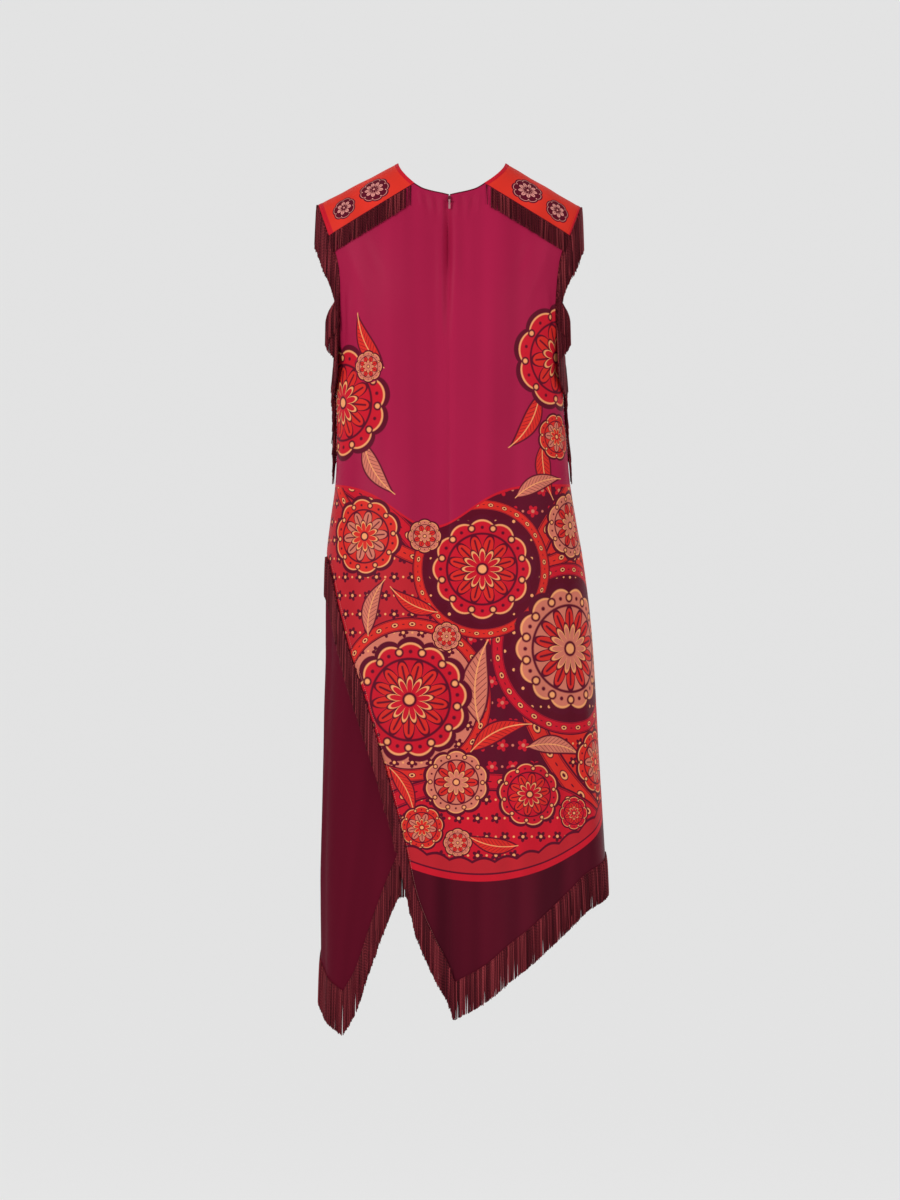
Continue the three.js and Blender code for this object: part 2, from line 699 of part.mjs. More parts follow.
// A plate with a rounded outline in X and Z, its near face at y = 0 and its far face towards -Y.
function plate(topWidth, footWidth, length, thick) {
  const shape = new THREE.Shape();
  const [a, b, h] = [topWidth / 2, footWidth / 2, length / 2];
  shape.moveTo(-a, h - a * PLATE_ROUND);
  shape.quadraticCurveTo(-a, h, 0, h);
  shape.quadraticCurveTo(a, h, a, h - a * PLATE_ROUND);
  shape.lineTo(b, -h + b * PLATE_ROUND);
  shape.quadraticCurveTo(b, -h, 0, -h);
  shape.quadraticCurveTo(-b, -h, -b, -h + b * PLATE_ROUND);
  const geometry = new THREE.ExtrudeGeometry(shape, { depth: thick, bevelEnabled: false, curveSegments: 5 });
  return solidOf(geometry.rotateX(Math.PI / 2));
}

// The slider in its own frame: z up along the cloth, -y out from it, the cloth's outer face at y = 0.
function slider() {
  const base = plate(SLIDER.width, SLIDER.width * SLIDER.footShare, SLIDER.length, SLIDER.thick)
    .translate([0, -SEAM_GAP, 0]);
  const lugHeight = PIN.height + PIN.over - SLIDER.thick;
  const lugY = -(SLIDER.thick + SEAM_GAP - LUG.sunk) - lugHeight / 2;
  const lugs = [-1, 1].map((s) => boxAt(LUG.width, lugHeight, LUG.length, s * LUG.offset, lugY, -PIN.along));
  const pin = rodAlongX(PIN.radius, 2 * PIN.half, -PIN.height, -PIN.along);
  return geometryOf(base.add(lugs[0]).add(lugs[1]).add(pin));
}

// The pull tab in the same frame, but with its eye's centre at the origin and hanging down.
function tab() {
  const eye = rodAlongX(TAB.eyeRadius, 2 * TAB.eyeHalf, 0, 0);
  const blade = plate(TAB.width * TAB.topShare, TAB.width, TAB.length, TAB.thick)
    .translate([0, TAB.thick / 2, -TAB.length / 2 + TAB.eyeRadius / 2]);
  const clear = rodAlongX(TAB.holeRadius, 4 * TAB.eyeHalf, 0, 0);
  return geometryOf(eye.add(blade).subtract(clear));
}

// ---- Assembly ----
const group = new THREE.Group();

function place(name, geometry, finish, parent = group) {
  const mesh = new THREE.Mesh(geometry, new THREE.MeshStandardMaterial(finish));
  mesh.name = name;
  parent.add(mesh);
  return mesh;
}

const backLeftPanel = backLeft();
const backRightPanel = backRight();
const frontPanel = front();
const yokes = { left: yoke(-1), right: yoke(1) };

place("back_left", wallOf(surfaceOf(backLeftPanel.sheets), WALL), RASPBERRY);
place("back_right", wallOf(surfaceOf(backRightPanel.sheets), WALL), RASPBERRY);
place("front", wallOf(surfaceOf(frontPanel.sheets), WALL), BURGUNDY);
for (const [side, sign] of [["left", -1], ["right", 1]]) {
  place(`yoke_${side}`, wallOf(surfaceOf(yokes[side].sheets), WALL), VERMILION);
  place(`fringe_yoke_back_${side}`, yokeFringe(sign, true, YOKE_FRINGE), FRINGE_YARN);
  place(`fringe_yoke_front_${side}`, yokeFringe(sign, false, YOKE_FRONT_FRINGE), FRINGE_YARN);
  const ends = sign > 0 ? [...yokes[side].ends].reverse() : yokes[side].ends;
  place(`fringe_shoulder_${side}`, hangingFringe(ends, SHOULDER_FRINGE, EDGE_LIFT), FRINGE_YARN);
  place(`fringe_underarm_${side}`, underarmFringe(sign), FRINGE_YARN);
  place(`fringe_side_${side}`, sideFringe(sign), FRINGE_YARN);
}
place("fringe_slant", hangingFringe(backLeftPanel.slant, SLANT_FRINGE, OVER_CLOTH), FRINGE_YARN);
place("fringe_hem_back", hangingFringe(backRightPanel.hem, BACK_HEM_FRINGE), FRINGE_YARN);
place("fringe_hem_front", hangingFringe(frontPanel.hem, FRONT_HEM_FRINGE), FRINGE_YARN);
place("fringe_wrap_edge", hangingFringe(frontPanel.wrap, WRAP_EDGE_FRINGE), FRINGE_YARN);

// The zip's frame sits on the cloth's outer face and tips with the slope of the back.
const above = skin(0, SLIDER.z + ZIP_REACH, WALL / 2);
const below = skin(0, SLIDER.z - ZIP_REACH, WALL / 2);
const zip = new THREE.Group();
zip.position.copy(above).add(below).multiplyScalar(0.5);
zip.rotation.x = -Math.atan2(above.y - below.y, above.z - below.z);
group.add(zip);
place("zip_slider", slider(), METAL, zip);
const hang = new THREE.Group();
hang.position.set(0, -PIN.height, -PIN.along);
hang.rotation.x = TAB_REST_TILT;
zip.add(hang);
place("zip_pull_tab", tab(), METAL, hang);

export default group;
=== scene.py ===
"""A sleeveless scarf dress in its worn, hollow form: silk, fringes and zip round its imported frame.

Metres, +Z up. The back faces -Y, and +X is to the right of someone looking at the back.
"""

import logging
import math
from collections.abc import Callable
from dataclasses import dataclass, field
from enum import Enum
from typing import NamedTuple

import bpy
import numpy as np
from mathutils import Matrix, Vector


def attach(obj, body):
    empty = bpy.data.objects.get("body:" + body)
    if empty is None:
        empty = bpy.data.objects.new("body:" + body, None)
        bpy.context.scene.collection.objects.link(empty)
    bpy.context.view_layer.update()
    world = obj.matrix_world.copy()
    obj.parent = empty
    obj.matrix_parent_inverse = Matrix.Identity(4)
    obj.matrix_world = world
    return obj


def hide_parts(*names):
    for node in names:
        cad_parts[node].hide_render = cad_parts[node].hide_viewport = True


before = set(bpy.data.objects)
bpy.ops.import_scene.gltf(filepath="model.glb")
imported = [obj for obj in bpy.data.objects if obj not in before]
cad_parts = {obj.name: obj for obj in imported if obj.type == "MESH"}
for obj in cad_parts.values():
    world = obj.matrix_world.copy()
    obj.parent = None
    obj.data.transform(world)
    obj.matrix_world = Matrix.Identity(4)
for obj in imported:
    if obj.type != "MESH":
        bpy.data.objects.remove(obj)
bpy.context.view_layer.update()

log = logging.getLogger("scarf_dress")

DRESS_BODY = "dress"
CUT_MAP = "Cut"
TONE = "tone"
MERGE_STEP = 1e-5
SMALLEST = 1e-12
EDGE_SOFT = 0.0008
WHITE = (1.0, 1.0, 1.0, 1.0)

Colour = tuple[float, float, float, float]
Sheet = tuple[np.ndarray, np.ndarray]


# ---- Colours ----
def tint(red: int, green: int, blue: int) -> Colour:
    """A linear colour from the usual 0 to 255 values of a display.

    Args:
        red: Share of red, 0 to 255.
        green: Share of green, 0 to 255.
        blue: Share of blue, 0 to 255.

    Returns:
        The linear colour with full opacity.
    """
    parts = np.array([red, green, blue]) / 255
    linear = np.where(parts <= 0.04045, parts / 12.92, ((parts + 0.055) / 1.055) ** 2.4)
    return (float(linear[0]), float(linear[1]), float(linear[2]), 1.0)


@dataclass(frozen=True)
class Dyes:
    """The colours that the cloth and yarn are dyed in, with one darker burgundy that is painted shade."""

    raspberry: Colour = tint(162, 27, 67)
    burgundy: Colour = tint(91, 14, 34)
    # A darker burgundy that is painted shade: the dark side of the painted sheen bands on the back's border.
    wine: Colour = tint(68, 8, 25)
    plum: Colour = tint(92, 16, 38)
    vermilion: Colour = tint(212, 44, 38)
    scarlet: Colour = tint(198, 26, 44)
    coral: Colour = tint(184, 36, 46)
    peach: Colour = tint(208, 116, 96)
    straw: Colour = tint(242, 160, 104)
    yoke: Colour = tint(218, 50, 38)
    yarn: Colour = tint(80, 12, 26)
    blush: Colour = tint(226, 150, 140)


DYES = Dyes()


# ---- The filled-out form ----
def smooth_step(t: np.ndarray) -> np.ndarray:
    """Rises from 0 to 1 as t does, level at both ends: 3 t squared less 2 t cubed."""
    s = np.clip(t, 0.0, 1.0)
    return s * s * (3 - 2 * s)


def smooth_curve(at: np.ndarray, knots: np.ndarray, values: np.ndarray) -> np.ndarray:
    """Cubic steps through the knots, each knot's slope being that between its two neighbours.

    Args:
        at: Where the curve is wanted.
        knots: Places of the known values, in any order.
        values: The known values.

    Returns:
        The curve's values, held level beyond the end knots.
    """
    order = np.argsort(knots)
    x, y = knots[order], values[order]
    count = np.arange(x.size)
    low, high = np.maximum(count - 1, 0), np.minimum(count + 1, x.size - 1)
    slope = (y[high] - y[low]) / (x[high] - x[low])
    i = np.clip(np.searchsorted(x, at, side="right") - 1, 0, x.size - 2)
    step = x[i + 1] - x[i]
    t = np.clip((at - x[i]) / step, 0.0, 1.0)
    near = y[i] * (1 + 2 * t) + slope[i] * step * t
    far = y[i + 1] * (3 - 2 * t) - slope[i + 1] * step * (1 - t)
    return near * (1 - t) ** 2 + far * t**2


class FormRow(NamedTuple):
    """One height of the form: half-widths to the two sides, depths to back and front."""

    z: float
    left: float
    right: float
    back: float
    front: float


class EdgePoint(NamedTuple):
    """A point of a cut edge: its height and its distance to the side."""

    z: float
    x: float


class HemPoint(NamedTuple):
    """A point of a hem: degrees round from the centre back, and height."""

    angle: float
    z: float


class Fold(NamedTuple):
    """A standing fold of the skirt: degrees from the centre back, height of its top, width and depth."""

    angle: float
    top: float
    width: float
    depth: float


def rows_of(kind: type, *rows: tuple, per_metre: float = 1.0) -> tuple:
    """A table of one kind.

    Args:
        kind: A class whose fields are the table's columns.
        rows: The rows, as plain tuples in the order of the fields.
        per_metre: 1000 where every column is in millimetres.

    Returns:
        The rows as objects of that class, in metres.
    """
    return tuple(kind(*(value / per_metre for value in row)) for row in rows)


FORM_ROWS = rows_of(
    FormRow, (60, 216, 216, 44, 30), (-32, 216, 216, 64, 46), (-60, 212, 212, 72, 63),
    (-108, 205, 205, 88, 91), (-133, 193, 191, 96, 102), (-175, 181, 180, 106, 116),
    (-215, 176, 175, 110, 123), (-250, 171, 171, 110, 122), (-285, 167.5, 168, 107, 116),
    (-347, 165.5, 167, 95, 99), (-410, 165, 172, 85, 89), (-467, 167, 176.5, 89, 93),
    (-526, 174.5, 186, 103, 105), (-575, 180, 195, 113, 114), (-641, 181.5, 204, 122, 120),
    (-714, 182, 211, 125, 121), (-817, 184.5, 217, 127, 122), (-1008, 187.5, 228, 128, 123),
    (-1165, 188.5, 240, 128, 124), (-1330, 190, 248, 128, 124),
    per_metre=1000,
)
FOLDS = rows_of(
    Fold, (-68, -0.700, 0.034, 0.0045), (-38, -0.760, 0.038, -0.0035), (12, -0.900, 0.044, 0.0040),
    (40, -0.860, 0.040, -0.0045), (68, -0.780, 0.042, 0.0040), (112, -0.640, 0.046, -0.0040),
    (146, -0.700, 0.048, 0.0050), (183, -0.600, 0.046, -0.0045), (216, -0.720, 0.044, 0.0045),
    (248, -0.650, 0.042, -0.0040),
)


@dataclass(frozen=True)
class Form:
    """The hollow shape that the cloth holds when it is worn.

    A section is an ellipse with its own half-width to each side and its own depth to back and front, made a
    little fuller at its four corners.
    """

    rows: np.ndarray = field(default_factory=lambda: np.array(FORM_ROWS))
    folds: tuple[Fold, ...] = FOLDS
    fullness: float = 0.046
    fold_fade: float = 0.26
    arc_steps: int = 48
    halvings: int = 40

    def column(self, name: str, z: np.ndarray) -> np.ndarray:
        """One column of the table of rows, carried smoothly to the heights z."""
        return smooth_curve(z, self.rows[:, 0], self.rows[:, FormRow._fields.index(name)])

    def widths(self, angle: np.ndarray, z: np.ndarray) -> tuple[np.ndarray, np.ndarray]:
        """The half-width and the depth that hold on the side that the angle looks to."""
        half = np.where(np.sin(angle) > 0, self.column("right", z), self.column("left", z))
        depth = np.where(np.cos(angle) > 0, self.column("back", z), self.column("front", z))
        return half, depth

    def outline(self, angle: np.ndarray, z: np.ndarray) -> tuple[np.ndarray, np.ndarray, np.ndarray]:
        """The bare section and its outward direction.

        x is the half-width times the angle's sine, y is less the depth times its cosine, and both are made
        fuller by a share of the squared sine of twice the angle.

        Args:
            angle: Turn from the centre back, in radians.
            z: Heights.

        Returns:
            x, y, and the horizontal unit vector that points out.
        """
        half, depth = self.widths(angle, z)
        full = 1 + self.fullness * np.sin(2 * angle) ** 2
        out = np.stack([np.sin(angle) / half, -np.cos(angle) / depth], axis=-1)
        out /= np.linalg.norm(out, axis=-1, keepdims=True)
        return half * np.sin(angle) * full, -depth * np.cos(angle) * full, out

    def fold_height(self, angle: np.ndarray, z: np.ndarray) -> np.ndarray:
        """Sum of the folds, each a bell curve of the distance round the form, growing below its top."""
        half, depth = self.widths(angle, z)
        height = np.zeros(np.broadcast(angle, z).shape)
        for fold in self.folds:
            turn = np.degrees(angle) - fold.angle
            away = np.radians(turn - 360 * np.round(turn / 360)) * (half + depth) / 2
            grown = smooth_step((fold.top - z) / self.fold_fade)
            height = height + fold.depth * np.exp(-((away / fold.width) ** 2)) * grown
        return height

    def point(self, angle: np.ndarray, z: np.ndarray, lift: np.ndarray | float = 0.0) -> np.ndarray:
        """Points of the folded form, moved out by lift: arrays of x, y, z on the last axis."""
        angle, z = np.broadcast_arrays(angle, z)
        x, y, out = self.outline(angle, z)
        off = lift + self.fold_height(angle, z)
        return np.stack([x + off * out[..., 0], y + off * out[..., 1], z], axis=-1)

    def angle_at(self, x: np.ndarray, z: np.ndarray) -> np.ndarray:
        """The angle in the back half where the bare form is x to the side, found by halving."""
        x, z = np.broadcast_arrays(np.asarray(x, float), np.asarray(z, float))
        low = np.full(x.shape, -math.pi / 2)
        high = np.full(x.shape, math.pi / 2)
        for _ in range(self.halvings):
            middle = (low + high) / 2
            under = self.outline(middle, z)[0] < x
            low, high = np.where(under, middle, low), np.where(under, high, middle)
        return (low + high) / 2

    def turn_of(self, length: float, angle: float, z: np.ndarray) -> np.ndarray:
        """The angle that spans a length of cloth at each height."""
        step = 0.002
        near, far = (self.outline(np.full(z.shape, angle + s * step / 2), z) for s in (-1, 1))
        return length * step / np.hypot(far[0] - near[0], far[1] - near[1])

    def arc(self, angle: np.ndarray, z: np.ndarray) -> np.ndarray:
        """Length of cloth from the centre back round to the angle: the sum of short straight steps."""
        share = np.linspace(0.0, 1.0, self.arc_steps + 1)
        x, y, _ = self.outline(angle[..., None] * share, np.broadcast_to(z, angle.shape)[..., None])
        return np.sign(angle) * np.hypot(np.diff(x), np.diff(y)).sum(axis=-1)

    def outwards(self, points: np.ndarray) -> np.ndarray:
        """The horizontal unit vectors that point away from the middle of the form at these points."""
        x, y, z = np.moveaxis(points, -1, 0)
        half = np.where(x > 0, self.column("right", z), self.column("left", z))
        depth = np.where(y < 0, self.column("back", z), self.column("front", z))
        out = np.stack([x / half**2, y / depth**2, np.zeros(x.shape)], axis=-1)
        return out / np.linalg.norm(out, axis=-1, keepdims=True)


FORM = Form()


@dataclass(frozen=True)
class Crease:
    """A soft trough or ridge between two places of the cut cloth: u is round it and v its height."""

    start_u: float
    start_v: float
    end_u: float
    end_v: float
    width: float
    depth: float
    ends: float = 0.06

    def height(self, cut: np.ndarray) -> np.ndarray:
        """A bell curve of the distance to the line, swelling as a half sine along it.

        Args:
            cut: Places on the cut cloth, (round, height) on the last axis.

        Returns:
            How far the crease lifts the cloth at each place.
        """
        start = np.array((self.start_u, self.start_v))
        run = np.array((self.end_u, self.end_v)) - start
        along = np.clip(((cut - start) @ run) / (run @ run), 0.0, 1.0)
        away = np.linalg.norm(cut - start - along[..., None] * run, axis=-1)
        swell = np.sin(math.pi * (self.ends + (1 - 2 * self.ends) * along))
        return self.depth * swell * np.exp(-((away / self.width) ** 2))


# ---- Meshes ----
def mesh_object(name: str, points: np.ndarray, faces: np.ndarray, cut: np.ndarray) -> bpy.types.Object:
    """An object at the origin from whole arrays of points and three-cornered or four-cornered faces.

    Args:
        name: The piece's name.
        points: Places of the points.
        faces: Numbers of each face's points.
        cut: For each corner of each face, its place on the flat cloth or round and along a strand.

    Returns:
        The new object, smooth and linked to the scene.
    """
    sides = faces.shape[1]
    mesh = bpy.data.meshes.new(name)
    mesh.vertices.add(len(points))
    mesh.vertices.foreach_set("co", points.astype(np.float32).ravel())
    mesh.loops.add(faces.size)
    mesh.loops.foreach_set("vertex_index", faces.astype(np.int32).ravel())
    mesh.polygons.add(len(faces))
    mesh.polygons.foreach_set("loop_start", np.arange(0, faces.size, sides, dtype=np.int32))
    mesh.polygons.foreach_set("use_smooth", np.ones(len(faces), bool))
    mesh.uv_layers.new(name=CUT_MAP).data.foreach_set("uv", cut.astype(np.float32).ravel())
    mesh.update(calc_edges=True)
    mesh.validate()
    made = bpy.data.objects.new(name, mesh)
    bpy.context.scene.collection.objects.link(made)
    return made


def grid_faces(rows: int, columns: int) -> np.ndarray:
    """Triangles over a grid whose rows run to the right as seen from outside and follow each other down."""
    index = np.arange(rows * columns).reshape(rows, columns)
    a, b, c, d = index[:-1, :-1], index[:-1, 1:], index[1:, 1:], index[1:, :-1]
    return np.concatenate([np.stack([d, c, b], -1).reshape(-1, 3), np.stack([d, b, a], -1).reshape(-1, 3)])


def joined_sheets(sheets: list[Sheet]) -> tuple[np.ndarray, np.ndarray, np.ndarray]:
    """One surface from grids that share edges: points that fall together become one, flat triangles go.

    Args:
        sheets: For each grid its points and their places on the cut cloth.

    Returns:
        The points, their places on the cloth and the triangles.
    """
    points = np.concatenate([p.reshape(-1, 3) for p, _ in sheets])
    cut = np.concatenate([c.reshape(-1, 2) for _, c in sheets])
    starts = np.cumsum([0] + [p.shape[0] * p.shape[1] for p, _ in sheets])
    faces = np.concatenate([grid_faces(*p.shape[:2]) + s for (p, _), s in zip(sheets, starts)])
    rounded = np.round(points / MERGE_STEP)
    _, first, number = np.unique(rounded, axis=0, return_index=True, return_inverse=True)
    faces = number.reshape(-1)[faces]
    a, b, c = faces.T
    faces = faces[(a != b) & (b != c) & (a != c)]
    return points[first], cut[first], faces


SHARP_ANGLE = math.radians(60)
CAP_HEAD = 0.5
CAP_TIP = 0.8
ROLL_SIDES = 8
STITCH_SIDES = 5
COIL_SIDES = 6
AHEAD = 0.002


def cloth(name: str, sheets: list[Sheet], thick: float) -> bpy.types.Object:
    """A closed cloth with the surface at its middle, and a rim round its edges.

    Each point is moved out and in by half the thickness along the mean of its faces' normals. An edge that
    only one face uses gets a strip of rim.

    Args:
        name: The piece's name.
        sheets: The grids of the surface, with places on the cut cloth.
        thick: Thickness of the cloth.

    Returns:
        The cloth's object.
    """
    points, cut, faces = joined_sheets(sheets)
    corners = points[faces]
    face_normals = np.cross(corners[:, 1] - corners[:, 0], corners[:, 2] - corners[:, 0])
    normals = np.zeros_like(points)
    np.add.at(normals, faces, face_normals[:, None, :])
    normals = unit(normals)
    count = len(points)
    ways = np.concatenate([faces[:, [0, 1]], faces[:, [1, 2]], faces[:, [2, 0]]])
    lone = ways[~np.isin(ways[:, 0] * count + ways[:, 1], ways[:, 1] * count + ways[:, 0])]
    start, end = lone.T
    rim = np.concatenate(
        [np.stack([end, start, start + count], -1), np.stack([end, start + count, end + count], -1)]
    )
    solid = np.concatenate([faces, faces[:, ::-1] + count, rim])
    both = np.concatenate([points + normals * thick / 2, points - normals * thick / 2])
    made = mesh_object(name, both, solid, np.concatenate([cut, cut])[solid])
    made.data.set_sharp_from_angle(angle=SHARP_ANGLE)
    return made


def in_place_of(node: str, made: bpy.types.Object) -> bpy.types.Object:
    """Lets a piece ride with the dress in the place of a node, which it hides."""
    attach(made, DRESS_BODY)
    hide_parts(node)
    return made


def resampled(line: np.ndarray, shares: np.ndarray) -> np.ndarray:
    """Points at shares of the way along a line of points."""
    steps = np.linalg.norm(np.diff(line, axis=0), axis=1)
    length = np.concatenate([[0.0], np.cumsum(steps)])
    return np.stack([np.interp(shares * length[-1], length, line[:, k]) for k in range(3)], axis=-1)


def line_length(line: np.ndarray) -> float:
    """Length of a line of points."""
    return float(np.linalg.norm(np.diff(line, axis=0), axis=1).sum())


def unit(vectors: np.ndarray) -> np.ndarray:
    """The same vectors at length one."""
    return vectors / np.maximum(np.linalg.norm(vectors, axis=-1, keepdims=True), SMALLEST)


def tubes(name: str, paths: np.ndarray, radii: np.ndarray, out: np.ndarray, sides: int) -> bpy.types.Object:
    """Closed tubes, one along each path, as one mesh.

    Each ring is a circle round its path's point: the radius times the cosine of the turn along the path's
    sideways direction, plus its sine along the outward one. A point at each end closes the tube, and stands
    out from it by a share of the radius.

    Args:
        name: The piece's name.
        paths: Points of each path, (tube, step, xyz).
        radii: Radius at each point, (tube, step).
        out: A direction across each path, (tube, step, xyz).
        sides: Sides of a ring.

    Returns:
        The tubes' object, with round and along as its cut map and a random tone on each tube.
    """
    count, steps, _ = paths.shape
    forward = unit(np.gradient(paths, axis=1))
    side = unit(np.cross(out, forward))
    rise = np.cross(forward, side)
    turn = np.arange(sides) * 2 * math.pi / sides
    ring = (
        np.cos(turn)[:, None] * side[:, :, None, :] + np.sin(turn)[:, None] * rise[:, :, None, :]
    ) * radii[:, :, None, None]
    rings = (paths[:, :, None, :] + ring).reshape(count, steps * sides, 3)
    first = paths[:, :1] - forward[:, :1] * radii[:, :1, None] * CAP_HEAD
    last = paths[:, -1:] + forward[:, -1:] * radii[:, -1:, None] * CAP_TIP
    points = np.concatenate([rings, first, last], axis=1)
    k, s = np.meshgrid(np.arange(steps - 1), np.arange(sides), indexing="ij")
    a, b = k * sides + s, k * sides + (s + 1) % sides
    c, d = b + sides, a + sides
    t = np.arange(sides)
    after, foot, top = (t + 1) % sides, (steps - 1) * sides, steps * sides
    ends = [(np.full(sides, top), after, t), (np.full(sides, top + 1), foot + t, foot + after)]
    corners = [(a, b, c), (a, c, d), *ends]
    one = np.concatenate([np.stack(trio, -1).reshape(-1, 3) for trio in corners])
    steps_along = np.cumsum(np.linalg.norm(np.diff(paths, axis=1), axis=-1), axis=1)
    length = np.concatenate([np.zeros((count, 1)), steps_along], axis=1)
    along = np.concatenate([np.repeat(length, sides, axis=1), length[:, :1], length[:, -1:]], axis=1)
    here, there, half = s, s + 1, t + 0.5
    turns = [(here, there, there), (here, there, here), (half, t + 1, t), (half, t, t + 1)]
    round_one = np.concatenate([np.stack(trio, -1).reshape(-1, 3) for trio in turns]) / sides
    shift = np.arange(count) * points.shape[1]
    faces = (one[None] + shift[:, None, None]).reshape(-1, 3)
    cut = np.stack([np.broadcast_to(round_one, (count, *round_one.shape)), along[:, one]], axis=-1)
    made = mesh_object(name, points.reshape(-1, 3), faces, cut)
    tones = np.random.default_rng(len(faces)).random(count)
    tone = made.data.attributes.new(TONE, "FLOAT", "POINT")
    tone.data.foreach_set("value", np.repeat(tones, points.shape[1]).astype(np.float32))
    return made


def edge_tube(name: str, lines: list[np.ndarray], radius: float, step: float = 0.003) -> bpy.types.Object:
    """A thin roll of cloth or cord along each of these lines, joined as one mesh.

    Args:
        name: The piece's name.
        lines: The lines that the rolls follow.
        radius: Radius of a roll.
        step: Spacing of its rings on the longest line.

    Returns:
        The rolls' object.
    """
    rings = int(max(line_length(line) for line in lines) / step) + 2
    shares = np.linspace(0.0, 1.0, rings)
    paths = np.stack([resampled(line, shares) for line in lines])
    return tubes(name, paths, np.full(paths.shape[:2], radius), FORM.outwards(paths), ROLL_SIDES)


def stitches(
    name: str, lines: list[np.ndarray], pitch: float, length: float, radius: float
) -> bpy.types.Object:
    """A row of short stitches along each of these lines, joined as one mesh.

    Args:
        name: The piece's name.
        lines: The lines that the rows follow.
        pitch: Spacing of the stitches.
        length: Length of a stitch.
        radius: Its radius at the middle.

    Returns:
        The stitches' object.
    """
    bow = np.linspace(-1.0, 1.0, 5)
    paths, outs = [], []
    for line in lines:
        count = max(int(line_length(line) / pitch), 2)
        shares = (np.arange(count) + 0.5) / count
        middle = resampled(line, shares)
        before, after = (resampled(line, np.clip(shares + step, 0, 1)) for step in (-AHEAD, AHEAD))
        ahead = unit(after - before)
        out = FORM.outwards(middle)
        arch = (1 - bow**2)[None, :, None] * radius * out[:, None]
        paths.append(middle[:, None] + bow[None, :, None] * ahead[:, None] * length / 2 + arch)
        outs.append(np.broadcast_to(out[:, None], paths[-1].shape))
    path, out = np.concatenate(paths), np.concatenate(outs)
    radii = np.broadcast_to(radius * (1 - 0.6 * bow**2), path.shape[:2])
    return tubes(name, path, radii, out, STITCH_SIDES)


# ---- The cut ----
class Side(Enum):
    """The two sides, by the sign of x."""

    LEFT = -1
    RIGHT = 1

    @property
    def word(self) -> str:
        """The side's name in the names of pieces."""
        return self.name.lower()


class ArmholePoint(NamedTuple):
    """A point of an armhole's edge: its height and its distance out on each side."""

    z: float
    left: float
    right: float


@dataclass(frozen=True)
class Ridge:
    """Where a shoulder's ridge starts at the neck and where it ends."""

    neck_x: float
    tip_x: float
    tip_z: float


NECK_TOP = -0.0318
YOKE_CORNER = -0.1078
UNDERARM = -0.285
SLIT_TOP = -0.575
HEM_SPLIT = -1.000
SLIDER_TOP = -0.0605
SLIT_HALF = 0.0011
SLIT_FADE = 0.009
YOKE_BACK_CORNER = 0.1756
YOKE_FRONT_CORNER = 0.171
RIGHT_SEAM = 90.0
LEFT_SEAM = 270.0
WRAP_CORNER = 306.4
WRAP_END = 338.1
RIDGES = {Side.LEFT: Ridge(0.0756, 0.192, -0.0606), Side.RIGHT: Ridge(0.0828, 0.192, -0.064)}

BACK_NECK = rows_of(
    EdgePoint, (-0.0489, 0.0), (-0.046, 0.0123), (-0.0431, 0.026), (-0.0392, 0.0388), (-0.035, 0.0465),
    (NECK_TOP, 0.0514),
)
FRONT_NECK = rows_of(
    EdgePoint, (-0.098, 0.0), (-0.087, 0.027), (-0.076, 0.039), (-0.066, 0.047), (-0.057, 0.053),
    (-0.0431, 0.0595), (NECK_TOP, 0.063),
)
BACK_ARMHOLE = rows_of(
    ArmholePoint, (YOKE_CORNER, 0.1756, 0.1756), (-0.133, 0.1668, 0.1645), (-0.153, 0.162, 0.160),
    (-0.175, 0.160, 0.1575), (-0.204, 0.1596, 0.1555), (-0.228, 0.160, 0.1554), (-0.251, 0.1616, 0.1566),
    (-0.266, 0.164, 0.1605), (-0.276, 0.166, 0.165), (UNDERARM, 0.1675, 0.168),
)
FRONT_ARMHOLE = rows_of(
    ArmholePoint, (YOKE_CORNER, 0.171, 0.171), (-0.133, 0.161, 0.160), (-0.153, 0.1565, 0.155),
    (-0.175, 0.154, 0.152), (-0.204, 0.1535, 0.151), (-0.228, 0.155, 0.1525), (-0.251, 0.1585, 0.156),
    (-0.266, 0.1625, 0.1605), (-0.276, 0.1655, 0.165), (UNDERARM, 0.1675, 0.168),
)
SLANT_EDGE = rows_of(
    EdgePoint, (SLIT_TOP, -0.180), (-0.588, -0.1746), (-0.612, -0.1695), (-0.642, -0.164), (-0.680, -0.1545),
    (-0.714, -0.1455), (-0.765, -0.129), (-0.817, -0.1135), (-0.880, -0.0955), (-0.940, -0.0795),
    (-1.000, -0.064), (-1.069, -0.0487), (-1.128, -0.0246), (-1.167, -0.0037), (-1.196, 0.0066),
)
CENTRE_SEAM = rows_of(
    EdgePoint, (-0.900, 0.0), (-1.000, 0.001), (-1.128, 0.0044), (-1.196, 0.0068),
)
BACK_HEM = rows_of(
    HemPoint, (0, -1.1975), (11, -1.1725), (20.5, -1.141), (28, -1.1194), (36, -1.095), (45, -1.0687),
    (57.5, -1.0384), (90, -1.0114),
)
WRAP_EDGE = rows_of(
    EdgePoint, (-0.576, -0.156), (-0.612, -0.140), (-0.714, -0.108), (-0.817, -0.077), (-0.940, -0.046),
    (-1.000, -0.072),
)
FRONT_HEM = rows_of(
    HemPoint, (90, -1.0114), (120, -1.008), (180, -1.008), (205, -1.022), (218, -1.045), (232, -1.080),
    (250, -1.125), (270, -1.165), (WRAP_CORNER, -1.213),
)
WRAP_HEM = rows_of(
    HemPoint, (WRAP_CORNER, -1.213), (314.8, -1.176), (324, -1.104), (333, -1.035), (WRAP_END, HEM_SPLIT),
)

